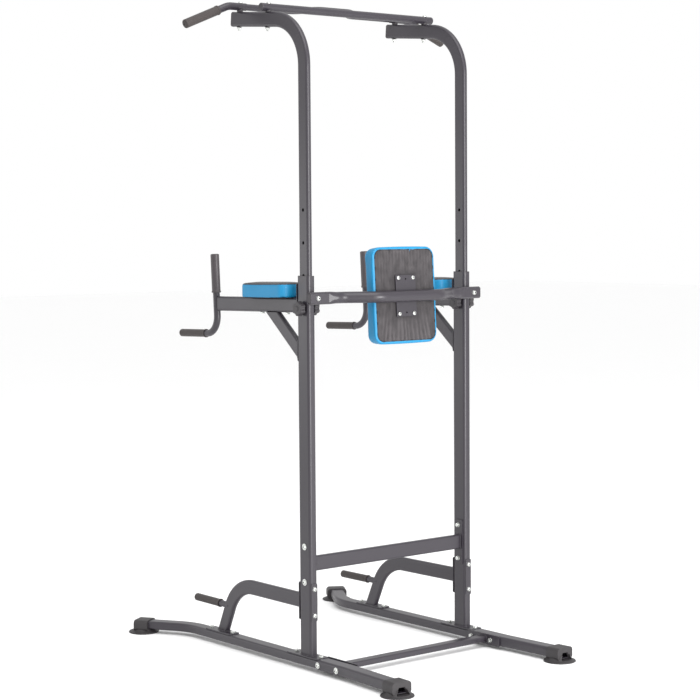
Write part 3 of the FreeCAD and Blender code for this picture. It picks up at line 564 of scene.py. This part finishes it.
@dataclass
class Cushion:
    """A foam pad in stretched vinyl, swelled by cloth pressure and seamed round its worn face.

    Its own axes are X across, Y along and Z out of the face that the user leans on.
    """

    name: str
    node: str
    width: float
    length: float
    thickness: float
    corner: float
    place: Matrix
    cap: float = 4.0 * MM
    shrink: float = 0.7 * MM
    voxel: float = 4.5 * MM
    panel_inset: float = 3.0 * MM
    piping: float = 1.4 * MM
    base_hold: float = 6.0 * MM
    worn_slope: float = 0.35
    seam_step: float = 4.0 * MM
    seam_lift: float = 0.2 * MM
    sim_steps: int = 20
    evening: int = 30
    seam_evening: int = 8

    @property
    def panel_corner(self) -> float:
        """The corner radius of the worn face."""
        return max(self.corner - self.panel_inset, 2 * MM)

    def start_shape(self) -> Object:
        """Copy the CAD pad, pulled in a little and remeshed in even squares."""
        bm = bmesh.new()
        bm.from_mesh(frame["nodes"][self.node].data)
        bmesh.ops.remove_doubles(bm, verts=bm.verts, dist=1e-6)
        back = self.place.inverted()
        for vert in bm.verts:
            own = back @ vert.co
            own.x *= 1.0 - 2 * self.shrink / self.width
            own.y *= 1.0 - 2 * self.shrink / self.length
            if own.z > 0.0:
                own.z *= 1.0 - 2 * self.shrink / self.thickness
            vert.co = self.place @ own
        pad = link(self.name + "_start", to_mesh(bm, self.name))
        remesh = pad.modifiers.new("even", "REMESH")
        remesh.mode = "VOXEL"
        remesh.voxel_size = self.voxel
        self.bake_modifiers(pad)
        return pad

    @staticmethod
    def bake_modifiers(pad: Object) -> None:
        """Replace an object's mesh with what its modifiers give, and drop them."""
        graph = bpy.context.evaluated_depsgraph_get()
        mesh = bpy.data.meshes.new_from_object(pad.evaluated_get(graph))
        pad.modifiers.clear()
        old = pad.data
        pad.data = mesh
        bpy.data.meshes.remove(old)

    def swell(self, pad: Object) -> None:
        """Inflate the pad as cloth, holding its base flat, and limit how far it moves."""
        back = self.place.inverted()
        held = [v.index for v in pad.data.vertices if (back @ v.co).z < self.base_hold - self.thickness / 2]
        group = pad.vertex_groups.new(name="base")
        group.add(held, 1.0, "REPLACE")
        rest = [v.co.copy() for v in pad.data.vertices]
        cloth = pad.modifiers.new("swell", "CLOTH")
        cloth.settings.effector_weights.gravity = 0.0
        stiffness = {"tension_stiffness": 18.0, "compression_stiffness": 18.0, "bending_stiffness": 4.0}
        pressure = {"quality": 6, "use_pressure": True, "uniform_pressure_force": 4.0}
        for setting, value in {**pressure, "vertex_group_mass": "base", **stiffness}.items():
            setattr(cloth.settings, setting, value)
        cloth.collision_settings.use_collision = False
        scene = bpy.context.scene
        for step in range(1, self.sim_steps + 1):
            scene.frame_set(step)
        self.bake_modifiers(pad)
        scene.frame_set(1)
        self.settle(pad, rest)

    def settle(self, pad: Object, rest: list[Vector]) -> None:
        """Limit how far each point moved, then even the moves out so that no crease is left.

        Args:
            pad: the swelled pad.
            rest: where its points began.
        """
        moves = [vert.co - start for vert, start in zip(pad.data.vertices, rest)]
        moves = [move * min(1.0, self.cap / max(move.length, 1e-9)) for move in moves]
        edges = [tuple(edge.vertices) for edge in pad.data.edges]
        for _ in range(self.evening):
            total, count = [move.copy() for move in moves], [1] * len(moves)
            for a, b in edges:
                total[a] += moves[b]
                total[b] += moves[a]
                count[a] += 1
                count[b] += 1
            moves = [move / n for move, n in zip(total, count)]
        for vert, start, move in zip(pad.data.vertices, rest, moves):
            vert.co = start + move

    def dress(self, pad: Object) -> Mesh:
        """Smooth the pad once and give its worn face the darker vinyl."""
        smooth = pad.modifiers.new("smooth", "SUBSURF")
        smooth.levels = 1
        smooth.render_levels = 1
        self.bake_modifiers(pad)
        mesh = pad.data
        back = self.place.inverted()
        turn = back.to_3x3()
        for face in mesh.polygons:
            worn = self.inside_panel(back @ face.center) and (turn @ face.normal).z > self.worn_slope
            face.material_index = 1 if worn else 0
        copy = mesh.copy()
        bpy.data.objects.remove(pad)
        return copy

    def inside_panel(self, own: Vector) -> bool:
        """Tell whether a point lies within the worn face's outline."""
        half_x = self.width / 2 - self.panel_inset
        half_y = self.length / 2 - self.panel_inset
        corner = self.panel_corner
        dx = max(abs(own.x) - (half_x - corner), 0.0)
        dy = max(abs(own.y) - (half_y - corner), 0.0)
        return hypot(dx, dy) <= corner and abs(own.x) <= half_x and abs(own.y) <= half_y

    def seam(self, mesh: Mesh) -> Mesh:
        """Lay piping where the worn face meets the sides, on the swelled surface."""
        bm = bmesh.new()
        bm.from_mesh(mesh)
        tree = BVHTree.FromBMesh(bm)
        bm.free()
        inset = 2 * self.panel_inset
        outline = rounded_loop(self.width - inset, self.length - inset, self.panel_corner, self.seam_step)
        points = []
        down = (self.place.to_3x3() @ AXIS_Z) * -1
        for across, along in outline:
            above = self.place @ Vector((across, along, self.thickness))
            hit = tree.ray_cast(above, down)[0]
            if hit is not None:
                points.append(hit - down * self.seam_lift)
        for _ in range(self.seam_evening):
            points = [(points[i - 1] + point * 2 + points[(i + 1) % len(points)]) / 4
                      for i, point in enumerate(points)]
        return tube_mesh(self.name + "_piping", points, self.piping, True)

    def make(self) -> tuple[Mesh, Mesh]:
        """Return the swelled pad and its piping."""
        pad = self.start_shape()
        self.swell(pad)
        mesh = self.dress(pad)
        return mesh, self.seam(mesh)


def mirror_copy(mesh: Mesh, name: str) -> Mesh:
    """Return a mesh mirrored across X = 0, its faces still pointing outwards."""
    bm = bmesh.new()
    bm.from_mesh(mesh)
    bmesh.ops.scale(bm, vec=(-1, 1, 1), verts=bm.verts)
    bmesh.ops.reverse_faces(bm, faces=bm.faces)
    return to_mesh(bm, name)


@dataclass
class ArmPads:
    """The two arm pads, one swelled and its mirror image."""

    width: float = 110 * MM
    length: float = 245 * MM
    thickness: float = 48 * MM
    corner: float = 26 * MM
    lining_inset: float = 9 * MM
    lining_thickness: float = 1.2 * MM
    ragged: float = 2.2 * MM
    ripple: float = 0.5 * MM
    drop: float = radians(1.0)
    toe: float = radians(-0.8)

    def build(self) -> None:
        turn = Matrix.Rotation(self.toe, 4, "Z") @ Matrix.Rotation(self.drop, 4, "X")
        place = at(middle("arm_pad_l"), turn)
        cushion = Cushion("arm_cushion_l", "arm_pad_l", self.width, self.length, self.thickness,
                          self.corner, place)
        pad, piping = cushion.make()
        halves = ((Side.LEFT, pad, piping),
                  (Side.RIGHT, mirror_copy(pad, "arm_cushion_r"), mirror_copy(piping, "arm_piping_r")))
        for side, body, bead in halves:
            piece = add_piece("arm_cushion_" + side.tag, body, Body.BASE,
                              (BLUE_VINYL, DARK_VINYL))
            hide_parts("arm_pad_" + side.tag)
            add_piece("arm_piping_" + side.tag, bead, Body.BASE, (DARK_VINYL,))
        lining = self.lining(place)
        # With no fold attribute, the lining is drawn mostly in the backing cloth's dark painted-shade colour.
        for side, cloth in ((Side.LEFT, lining), (Side.RIGHT, mirror_copy(lining, "arm_lining_r"))):
            add_piece("arm_lining_" + side.tag, cloth, Body.BASE, (BACKING_CLOTH,))

    def lining(self, place: Matrix) -> Mesh:
        """Return the backing cloth under an arm pad, cut raggedly round its edge."""
        width, length = self.width - self.lining_inset, self.length - self.lining_inset
        bm = bmesh.new()
        bmesh.ops.create_grid(bm, x_segments=36, y_segments=80, size=0.5)
        bmesh.ops.scale(bm, vec=(width, length, 1), verts=bm.verts)
        for vert in bm.verts:
            if vert.is_boundary:
                ragged = noise.noise(vert.co * 130) * self.ragged
                vert.co += Vector((copysign(ragged, vert.co.x), ragged * 0.5, 0))
            vert.co.z = noise.noise(vert.co * 90) * self.ripple
        bmesh.ops.solidify(bm, geom=bm.faces[:], thickness=self.lining_thickness)
        bmesh.ops.recalc_face_normals(bm, faces=bm.faces)
        down = Matrix.Translation((0, 0, -self.thickness / 2 - 0.4 * MM))
        bmesh.ops.transform(bm, matrix=place @ down, verts=bm.verts)
        return to_mesh(bm, "arm_lining_l")


@dataclass
class BackRest:
    """The back pad, its stapled backing cloth and the staples."""

    width: float = 275 * MM
    height: float = 325 * MM
    thickness: float = 50 * MM
    corner: float = 34 * MM
    tilt: float = radians(3.3)
    cover_inset: float = 9 * MM
    cover_corner: float = 26 * MM
    cell: float = 1.6 * MM
    fold_pitch: float = 13.5 * MM
    full_fold: float = 2.4 * MM
    staple_pitch: float = 38 * MM
    staple_inset: float = 1.5 * MM
    staple_size: Triple = (10 * MM, 1.6 * MM, 2.4 * MM)
    staple_rise: float = 0.4 * MM
    fan: float = 0.34
    fold_sharpness: float = 1.5
    slack: float = 0.35
    low_gather: float = 3.4
    top_gather: float = 1.3
    hem: float = 6 * MM
    plate_hold: float = 20 * MM
    laid_in: float = 0.6 * MM
    plate_half_width: float = 44 * MM
    plate_half_height: float = 69 * MM

    @property
    def rear(self) -> Matrix:
        """Where the backing lies: X across, Y rearwards and Z up its slope."""
        return at(middle("back_cover"), Matrix.Rotation(self.tilt, 4, "X"))

    def build(self) -> None:
        """Make the pad, the backing and the staples."""
        place = at(middle("back_pad"), Matrix.Rotation(self.tilt, 4, "X") @ QUARTER["X"])
        cushion = Cushion("back_cushion", "back_pad", self.width, self.height, self.thickness, self.corner,
                          place, cap=6 * MM, panel_inset=13 * MM)
        pad, piping = cushion.make()
        piece = add_piece("back_cushion", pad, Body.BASE, (BLUE_VINYL, DARK_VINYL))
        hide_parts("back_pad")
        add_piece("back_piping", piping, Body.BASE, (DARK_VINYL,))
        cloth = add_piece("backing_cloth", self.backing(), Body.BASE, (BACKING_CLOTH,))
        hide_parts("back_cover")
        add_piece("backing_staples", self.staples(), Body.BASE, (STAPLE_STEEL,))

    def pleat(self, x: float, z: float, width: float, height: float) -> float:
        """Return how far the gathered cloth stands out at a point.

        Args:
            x: distance across from the middle.
            z: distance up from the middle.
            width: the cloth's width.
            height: the cloth's height.

        Returns:
            The height of the fold, in metres.
        """

        def drift(across: float, up: float, layer: float) -> float:
            """Return smooth noise of one layer, with this many cells to the metre each way."""
            return noise.noise(Vector((x * across, z * up, layer)))

        low, top = max(0.0, -z / (height / 2)), max(0.0, z / (height / 2))
        sway = drift(18, 6, 3.0) * 6 * MM + drift(50, 18, 7.0) * 3 * MM
        turn = (x / (1.0 + self.fan * low) + sway) * tau / self.fold_pitch
        folds = (0.5 + 0.5 * sin(turn)) ** self.fold_sharpness
        patchy = max(0.1, 0.6 + 1.1 * drift(30, 8, 5.0))
        strength = (self.slack + self.low_gather * low ** 2.2 + self.top_gather * top ** 2.0) * patchy
        crumple = 0.9 * drift(48, 30, 9.0) + 0.4 * drift(130, 70, 2.0)
        held = unit(min(width / 2 - abs(x), height / 2 - abs(z)) / self.hem)
        outside = max(abs(x) - self.plate_half_width, abs(z) - self.plate_half_height)
        free = unit(outside / self.plate_hold)
        return (strength * folds + crumple + 0.6) * MM * held * (0.1 + 0.9 * free)

    def backing(self) -> Mesh:
        """Make the gathered backing cloth, a little thickness behind it."""
        width = self.width - 2 * self.cover_inset
        height = self.height - 2 * self.cover_inset
        bm = bmesh.new()
        bmesh.ops.create_grid(bm, x_segments=round(width / self.cell), y_segments=round(height / self.cell),
                              size=0.5)
        bmesh.ops.scale(bm, vec=(width, height, 1), verts=bm.verts)
        a, b = width / 2 - self.cover_corner, height / 2 - self.cover_corner

        def beyond(vert: BMVert) -> float:
            """Return how far a vertex lies outside the round corner nearest to it."""
            dx, dy = abs(vert.co.x) - a, abs(vert.co.y) - b
            if dx <= 0 or dy <= 0:
                return -1.0
            return hypot(dx, dy) - self.cover_corner

        bmesh.ops.delete(bm, geom=[v for v in bm.verts if beyond(v) > self.cell * 0.7], context="VERTS")
        for vert in bm.verts:
            over = beyond(vert)
            if over > -self.cell * 0.5 and abs(vert.co.x) > a and abs(vert.co.y) > b:
                centre = Vector((copysign(a, vert.co.x), copysign(b, vert.co.y), 0))
                reach = vert.co - centre
                vert.co = centre + reach * (self.cover_corner / reach.length)
        # The fold height feeds the cloth's painted shade: darker where the cloth lies low, in fold valleys,
        # at the hem and over the plate.
        fold = bm.verts.layers.float.new("fold")
        for vert in bm.verts:
            x, z = vert.co.x, vert.co.y
            lift = self.pleat(x, z, width, height)
            vert[fold] = unit(lift / self.full_fold)
            vert.co = Vector((x, lift - self.laid_in, z))
        bmesh.ops.recalc_face_normals(bm, faces=bm.faces)
        if sum(face.normal.y for face in bm.faces) < 0:
            bmesh.ops.reverse_faces(bm, faces=bm.faces)
        bmesh.ops.transform(bm, matrix=self.rear, verts=bm.verts)
        return to_mesh(bm, "backing_cloth")

    def staples(self) -> Mesh:
        """Make the ring of staples just inside the backing's edge."""
        width = self.width - 2 * (self.cover_inset + self.staple_inset)
        height = self.height - 2 * (self.cover_inset + self.staple_inset)
        loop = rounded_loop(width, height, self.cover_corner - self.staple_inset, self.staple_pitch)
        bm = bmesh.new()
        for i, (across, up) in enumerate(loop):
            nxt, last = loop[(i + 1) % len(loop)], loop[i - 1]
            angle = atan2(nxt[1] - last[1], nxt[0] - last[0])
            made = bmesh.ops.create_cube(bm, size=1.0)
            bmesh.ops.scale(bm, vec=self.staple_size, verts=made["verts"])
            spot = at((across, self.staple_rise, up), Matrix.Rotation(-angle, 4, "Y"))
            bmesh.ops.transform(bm, matrix=self.rear @ spot, verts=made["verts"])
        chamfer_edges(bm, 0.35 * MM)
        return to_mesh(bm, "staples")


# ---- fasteners


@dataclass
class BoltShape:
    """Sizes of the bolts, in metres."""

    shank: float = 4.0 * MM
    button_radius: float = 7.4 * MM
    button_height: float = 4.6 * MM
    socket_radius: float = 5.0 * MM / sqrt(3)
    socket_depth: float = 2.4 * MM
    socket_rim: float = 0.6 * MM
    hex_radius: float = 12.7 * MM / sqrt(3)
    hex_height: float = 5.2 * MM
    nut_height: float = 6.0 * MM
    washer_height: float = 1.6 * MM
    washer_edge: float = 0.35 * MM
    washer_play: float = 0.4 * MM
    back_washer: float = 8.0 * MM
    hex_chamfer: float = 0.5 * MM
    tip_chamfer: float = 0.7 * MM
    thread_pitch: float = 1.25 * MM
    thread_depth: float = 0.55 * MM
    thread_turns: int = 7

    def washer(self, radius: float) -> Mesh:
        """Return a stamped washer with rolled edges."""
        edge, hole, top = self.washer_edge, self.shank + self.washer_play, self.washer_height
        return lathe([(hole, 0.0), (radius - edge, 0.0), (radius, edge), (radius, top - edge),
                      (radius - edge, top), (hole, top), (hole, 0.0)], 40)

    def button(self) -> Mesh:
        """Return a low round head with a hexagon socket."""
        r, h = self.button_radius, self.button_height
        rim = self.socket_radius + self.socket_rim
        profile = [(0.0, 0.0), (r, 0.0), (r, 0.2 * h)]
        for k in range(1, 7):
            t = radians(15 * k)
            profile.append((rim + (r - rim) * cos(t), 0.2 * h + 0.8 * h * sin(t)))
        bm = bmesh.new()
        dome = lathe(profile, 36)
        bm.from_mesh(dome)
        bpy.data.meshes.remove(dome)
        mouth = [edge for edge in bm.edges if edge.is_boundary]
        ring = bmesh.ops.create_circle(bm, cap_ends=False, segments=6, radius=self.socket_radius)["verts"]
        bmesh.ops.translate(bm, vec=(0, 0, h), verts=ring)
        lip = list({edge for vert in ring for edge in vert.link_edges})
        bmesh.ops.bridge_loops(bm, edges=mouth + lip)
        wall = bmesh.ops.extrude_edge_only(bm, edges=lip)["geom"]
        floor = [item for item in wall if isinstance(item, BMVert)]
        bmesh.ops.translate(bm, vec=(0, 0, -self.socket_depth), verts=floor)
        bmesh.ops.contextual_create(bm, geom=floor)
        bmesh.ops.recalc_face_normals(bm, faces=bm.faces)
        return to_mesh(bm, "button_head")

    def hexagon(self, height: float) -> Mesh:
        """Return a chamfered hexagon, for a head or a nut."""
        return prism(6, self.hex_radius, height, self.hex_chamfer)

    def rod(self, length: float) -> Mesh:
        """Return a shank with a chamfered tip and the first turns of its thread."""
        r, edge = self.shank, self.tip_chamfer
        profile = [(0.0, 0.0), (r - edge, 0.0), (r, edge)]
        turns = min(self.thread_turns, int((length - edge) / self.thread_pitch) - 1)
        for k in range(turns):
            z = edge + self.thread_pitch * k
            profile += [(r - self.thread_depth, z + self.thread_pitch / 2), (r, z + self.thread_pitch)]
        profile += [(r, length), (0.0, length)]
        return lathe(profile, 20)


@dataclass
class Fixing:
    """One kind of bolt: which way its head points, and what it carries."""

    axis: Vector
    head: Head
    nut: bool = False
    washer: bool = True
    bare: float = 1.4 * MM


@dataclass
class Fasteners:
    """Every bolt that the CAD has, with sockets, washers, nuts and thread ends."""

    shape: BoltShape
    rise: float = radians(5.0)
    tilt: float = radians(3.3)
    soft_edge: float = radians(35)
    nodes: tuple[str, ...] = ("base_bolts", "post_bolts_l", "post_bolts_r", "bar_bolts", "back_pad_bolts",
                              "arm_pad_screws")

    def choose(self, node: str, low: Vector, high: Vector) -> Fixing:
        """Pick the kind of bolt for one loose solid.

        Args:
            node: the CAD node that it is in.
            low: its lowest corner.
            high: its highest corner.

        Returns:
            The fixing, with its axis pointing out of its head.
        """
        size = high - low
        if node == "bar_bolts":
            axis = Vector((0, sin(self.rise), cos(self.rise)))
            return Fixing(axis, Head.BUTTON, nut=True, washer=False, bare=5.8 * MM)
        if node == "back_pad_bolts":
            return Fixing(Vector((0, cos(self.tilt), sin(self.tilt))), Head.BUTTON, washer=False)
        if node == "arm_pad_screws":
            return Fixing(AXIS_Z * -1, Head.HEX)
        if size.x > 1.5 * size.y:
            return Fixing(AXIS_X * copysign(1.0, low.x), Head.BUTTON, nut=True)
        if size.z > 1.5 * size.y:
            return Fixing(AXIS_Z, Head.HEX)
        if high.y < POST_PLANE:
            return Fixing(AXIS_Y * -1, Head.HEX, washer=False)
        return Fixing(AXIS_Y, Head.BUTTON, nut=low.y < POST_PLANE)

    def bolt(self, fixing: Fixing, points: list[Vector]) -> list[Mesh]:
        """Build one bolt between the ends of its CAD solid.

        Args:
            fixing: the kind of bolt.
            points: the solid's points.

        Returns:
            The bolt's head, shank, washers and nut.
        """
        axis, shape = fixing.axis, self.shape
        low, high = corners(points)
        centre, half = (low + high) / 2, (high - low) / 2
        reach = [(point - centre).dot(axis) for point in points]
        tip, tail = centre + axis * max(reach), centre + axis * min(reach)
        turn = facing(axis)
        button = fixing.head is Head.BUTTON
        seat = tip - axis * (shape.button_height if button else shape.hex_height)
        head = shape.button() if button else shape.hexagon(shape.hex_height)
        parts = [placed(head, at(seat, turn)),
                 placed(shape.rod((seat - tail).length), at(tail, turn))]
        if fixing.washer:
            radius = max(half[i] for i in range(3) if abs(axis[i]) < 0.5)
            foot = seat - axis * shape.washer_height
            parts.append(placed(shape.washer(radius), at(foot, turn)))
        if fixing.nut:
            nut = tail + axis * fixing.bare
            parts.append(placed(shape.hexagon(shape.nut_height), at(nut, turn)))
            if fixing.washer:
                back = nut + axis * shape.nut_height
                parts.append(placed(shape.washer(shape.back_washer), at(back, turn)))
        return parts

    def build(self) -> None:
        """Make one piece for each CAD node of bolts."""
        for node in self.nodes:
            parts: list[Mesh] = []
            for points in islands(node):
                parts += self.bolt(self.choose(node, *corners(points)), points)
            body = Body.TOP if node == "bar_bolts" else Body.BASE
            piece = add_piece(node + "_detailed", joined(node, parts), body, (ZINC_PLATE,))
            piece.data.set_sharp_from_angle(angle=self.soft_edge)
            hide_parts(node)


# ---- welds, plugs and caps


@dataclass
class Welds:
    """The fillet welds that join the tubes to their plates, painted with the frame.

    An outline is the width, height and corner radius that a bead runs round.
    """

    bead: float = 2.2 * MM
    ripple: float = 0.13
    step: float = 2.6 * MM
    post: Triple = (61 * MM, 31 * MM, 9 * MM)
    brace: Triple = (56 * MM, 21 * MM, 8 * MM)
    boss: Triple = (26.4 * MM, 26.4 * MM, 13 * MM)
    foot_plate: float = 4 * MM
    brace_inwards: float = 6.5 * MM
    brace_forwards: float = 493 * MM
    front_face: float = 33.6 * MM
    rear_face: float = 30.5 * MM
    plate_width: float = 21 * MM
    plate_corner: float = 8 * MM
    # height of each plate on the post's front, and of the tube welded to it
    plates: tuple[tuple[float, float], ...] = (
        (225 * MM, 51 * MM), (1205 * MM, 51 * MM), (1056 * MM, 63 * MM))
    cross_corner: float = 6 * MM
    # depth, height, end plate, distance behind the posts, and rise over the end plate's middle
    cross_tubes: tuple[tuple[str, float, float, float, float, float], ...] = (
        ("lower_cross_bar", 21 * MM, 51 * MM, 3.5 * MM, 0.0, 0.0),
        ("base_cross_tube", 41 * MM, 21 * MM, 4 * MM, 137 * MM, -0.5 * MM))

    def ring(self, name: str, place: Matrix, width: float, height: float, corner: float) -> Mesh:
        """Return a weld round a tube's end, in the XY plane of place."""
        loop = rounded_loop(width, height, corner, self.step)
        points = [place @ Vector((across, up, 0)) for across, up in loop]
        return tube_mesh(name, points, self.bead, True, self.ripple)

    def side_welds(self, side: Side) -> list[Mesh]:
        """Return the welds of one side: post, brace, arm and strut plates, and the boss."""
        post_low, post_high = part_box("lower_post_" + side.tag)
        brace_low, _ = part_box("side_brace_" + side.tag)
        x = (post_low.x + post_high.x) / 2
        sole = (x, POST_PLANE, post_low.z + self.foot_plate)
        foot = (x - side.value * self.brace_inwards, POST_PLANE - self.brace_forwards,
                brace_low.z + self.foot_plate)
        welds = [self.ring("post_weld", at(sole, QUARTER["Z"]), *self.post),
                 self.ring("brace_weld", at(foot, QUARTER["Z"]), *self.brace)]
        for z, tall in self.plates:
            spot = at((x, POST_PLANE - self.front_face, z), QUARTER["X"])
            welds.append(self.ring("plate_weld", spot, self.plate_width, tall, self.plate_corner))
        boss = at((x, POST_PLANE + self.rear_face, middle("back_cross_bar").z), QUARTER["X"])
        welds.append(self.ring("boss_weld", boss, *self.boss))
        return welds

    def cross_welds(self) -> list[Mesh]:
        """Return the welds where the two cross tubes meet their end plates."""
        welds = []
        for node, painted_fold_shade, tall, plate, back, rise in self.cross_tubes:
            low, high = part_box(node)
            y, z = POST_PLANE + back, middle(node).z + rise
            for x in (low.x + plate, high.x - plate):
                place = at((x, y, z), QUARTER["Z"] @ QUARTER["X"])
                welds.append(self.ring(node + "_weld", place, painted_fold_shade, tall, self.cross_corner))
        return welds

    def build(self) -> None:
        """Make the welds of both sides and of the cross tubes."""
        for side in Side:
            name = "welds_" + side.tag
            add_piece(name, joined(name, self.side_welds(side)), Body.BASE, (POWDER_COAT,))
        add_piece("cross_tube_welds", joined("cross_tube_welds", self.cross_welds()), Body.BASE,
                  (POWDER_COAT,))


@dataclass
class Caps:
    """Small mouldings that close or finish other pieces: bar end plugs and knob discs."""

    plug_depth: float = 2.0 * MM
    plug_radius: float = 12.4 * MM
    plug_shape: tuple[float, float] = (1.42, 0.78)
    plug_inset: float = 1.2 * MM
    plug_chamfer: float = 0.4 * MM
    bar_set_back: float = 55 * MM
    bar_height: float = 1229 * MM
    disc_radius: float = 10.0 * MM

    def bar_plugs(self) -> Mesh:
        """Make the flat plugs in the back bar's pressed ends."""
        low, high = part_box("back_cross_bar")
        turn = QUARTER["Y"] @ Matrix.Diagonal((*self.plug_shape, 1.0, 1.0))
        plugs = []
        for x in (low.x + self.plug_inset, high.x - self.plug_inset):
            spot = (x - self.plug_depth / 2, POST_PLANE + self.bar_set_back, self.bar_height)
            plug = prism(40, self.plug_radius, self.plug_depth, self.plug_chamfer)
            plugs.append(placed(plug, at(spot, turn)))
        return joined("bar_plugs", plugs)

    def knob_disc(self, node: str) -> Mesh:
        """Make the shallow domed disc on a knob's outer face."""
        low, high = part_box(node)
        centre = (low + high) / 2
        outwards = copysign(1.0, centre.x) * (-1.0 if node.startswith("inner") else 1.0)
        face = Vector((high.x if outwards > 0 else low.x, centre.y, centre.z))
        r = self.disc_radius
        profile = [(0.0, -0.5 * MM), (r, -0.5 * MM), (r, 0.5 * MM), (r - 0.7 * MM, 1.1 * MM),
                   (r / 2, 1.5 * MM),
                   (0.0, 1.7 * MM)]
        return placed(lathe(profile, 40), at(face, facing(AXIS_X * outwards)))

    def build(self) -> None:
        """Make the plugs and the discs."""
        add_piece("back_bar_plugs", self.bar_plugs(), Body.BASE, (GREY_PLASTIC,))
        for body in (Body.OUTER_KNOB_L, Body.OUTER_KNOB_R, Body.INNER_KNOB_L, Body.INNER_KNOB_R):
            add_piece(body.value + "_disc", self.knob_disc(body.value), body, (KNOB_PLASTIC,))


@dataclass
class Grips:
    """Collars round the open ends of the rubber grips, and the dimpled buttons in their closed ends."""

    collar_length: float = 7.0 * MM
    collar_rise: float = 1.1 * MM
    dimple: float = 2.4 * MM
    ends: tuple[tuple[str, Body, Vector], ...] = (
        ("floor_grip", Body.BASE, Vector((0, -1, 0))),
        ("lower_grip", Body.BASE, Vector((0, -1, 0))),
        ("upright_grip", Body.BASE, Vector((0, 0, 1))),
        ("wide_grip", Body.TOP, Vector((1, 0, 0))),
    )

    def collar(self, radius: float) -> Mesh:
        """Return a rolled collar that stands on its grip's open end."""
        r, rise, length = radius, self.collar_rise, self.collar_length
        return lathe([(r - 2 * MM, 0.0), (r + rise * 0.6, 0.0), (r + rise, 1 * MM),
                      (r + rise, length - 2 * MM),
                      (r + rise * 0.5, length - 0.6 * MM), (r - 0.2 * MM, length), (r - 2 * MM, length),
                      (r - 2 * MM, 0.0)], 48)

    def button(self, radius: float) -> Mesh:
        """Return the low moulded button in a grip's closed end, with its vent dimple."""
        r, hole = radius * 0.8, self.dimple
        return lathe([(0.0, -1.0 * MM), (r, -1.0 * MM), (r, 0.2 * MM), (r - 0.8 * MM, 0.7 * MM),
                      (hole + 0.5 * MM, 0.8 * MM), (hole, 0.5 * MM), (hole, -0.6 * MM), (0.0, -0.6 * MM)], 48)

    def build(self) -> None:
        """Make the collar and the button of each grip."""
        for stem, body, out in self.ends:
            finish = DIPPED_GRIP if stem == "upright_grip" else FOAM_GRIP
            for side in Side:
                node = f"{stem}_{side.tag}"
                way = Vector((out.x * side.value, out.y, out.z))
                centre, axis, half, radius = long_axis(node, way)
                turn = facing(axis)
                parts = [placed(self.collar(radius), at(centre - axis * half, turn)),
                         placed(self.button(radius), at(centre + axis * half, turn))]
                piece = add_piece(node + "_trim", joined(node, parts), body, (finish,))
                piece.data.set_sharp_from_angle(angle=radians(50))


# ---- studio


@dataclass
class Studio:
    """The pale floor, the soft lights and the camera at the wished viewing angle."""

    eye: Triple = (4.1110, 4.8324, 1.4666)
    yaw: float = radians(39.263)
    pitch: float = radians(3.821)
    roll: float = radians(-0.382)
    lens: float = 96.34
    sensor: float = 36.0
    sky: float = 1.0
    aim_height: float = 1.0
    floor_half: float = 30.0
    # place and width in metres, and power in watts
    lamps: tuple[tuple[str, Triple, float, float], ...] = (
        ("top_softbox", (0.8, 1.6, 4.8), 3.4, 110.0),
        ("rear_softbox", (-0.4, 5.5, 1.3), 2.6, 290.0),
        ("front_softbox", (3.2, -3.2, 1.2), 1.0, 14.0))

    def camera(self) -> None:
        """Make the camera; its place is measured from the plane of the posts."""
        forward = Vector((-sin(self.yaw) * cos(self.pitch), -cos(self.yaw) * cos(self.pitch),
                          -sin(self.pitch)))
        level = Vector((-cos(self.yaw), sin(self.yaw), 0.0))
        above = level.cross(forward)
        right = level * cos(self.roll) + above * sin(self.roll)
        up = above * cos(self.roll) - level * sin(self.roll)
        turn = Matrix((right, up, -forward)).transposed().to_4x4()
        data = bpy.data.cameras.new("studio_camera")
        data.lens = self.lens
        data.sensor_width = self.sensor
        camera = link("studio_camera", data)
        camera.matrix_world = at((self.eye[0], self.eye[1] + POST_PLANE, self.eye[2]), turn)
        bpy.context.scene.camera = camera

    def softbox(self, name: str, spot: Triple, size: float, power: float) -> None:
        """Hang a square softbox at spot, turned to the middle of the tower."""
        data = bpy.data.lights.new(name, "AREA")
        data.size = size
        data.energy = power
        aim = Vector((0, 0, self.aim_height)) - Vector(spot)
        link(name, data).matrix_world = at(spot, aim.to_track_quat("-Z", "Y").to_matrix().to_4x4())

    def floor(self) -> None:
        """Lay a wide pale floor."""
        bm = bmesh.new()
        bmesh.ops.create_grid(bm, x_segments=2, y_segments=2, size=self.floor_half)
        mesh = to_mesh(bm, "studio_floor")
        mesh.materials.append(material_of(STUDIO_FLOOR))
        ground = link("studio_floor", mesh)

    def build(self) -> None:
        """Make the camera, the floor, the sky and the lights."""
        self.camera()
        self.floor()
        bpy.context.scene.view_settings.view_transform = "Standard"
        world = bpy.data.worlds.new("studio_sky")
        bpy.context.scene.world = world
        world.use_nodes = True
        background = world.node_tree.nodes["Background"]
        background.inputs["Color"].default_value = (1.0, 1.0, 1.0, 1.0)
        background.inputs["Strength"].default_value = self.sky
        for lamp in self.lamps:
            self.softbox(*lamp)


def main() -> None:
    """Build the tower's looks in order."""
    logging.basicConfig(level=logging.INFO, format="%(name)s: %(message)s")
    steps: tuple[Callable[[], None], ...] = (
        Framework().build,
        ArmPads().build,
        BackRest().build,
        Fasteners(BoltShape()).build,
        Welds().build,
        Caps().build,
        Grips().build,
        Studio().build,
    )
    for step in steps:
        step()


if __name__ == "__main__":
    main()
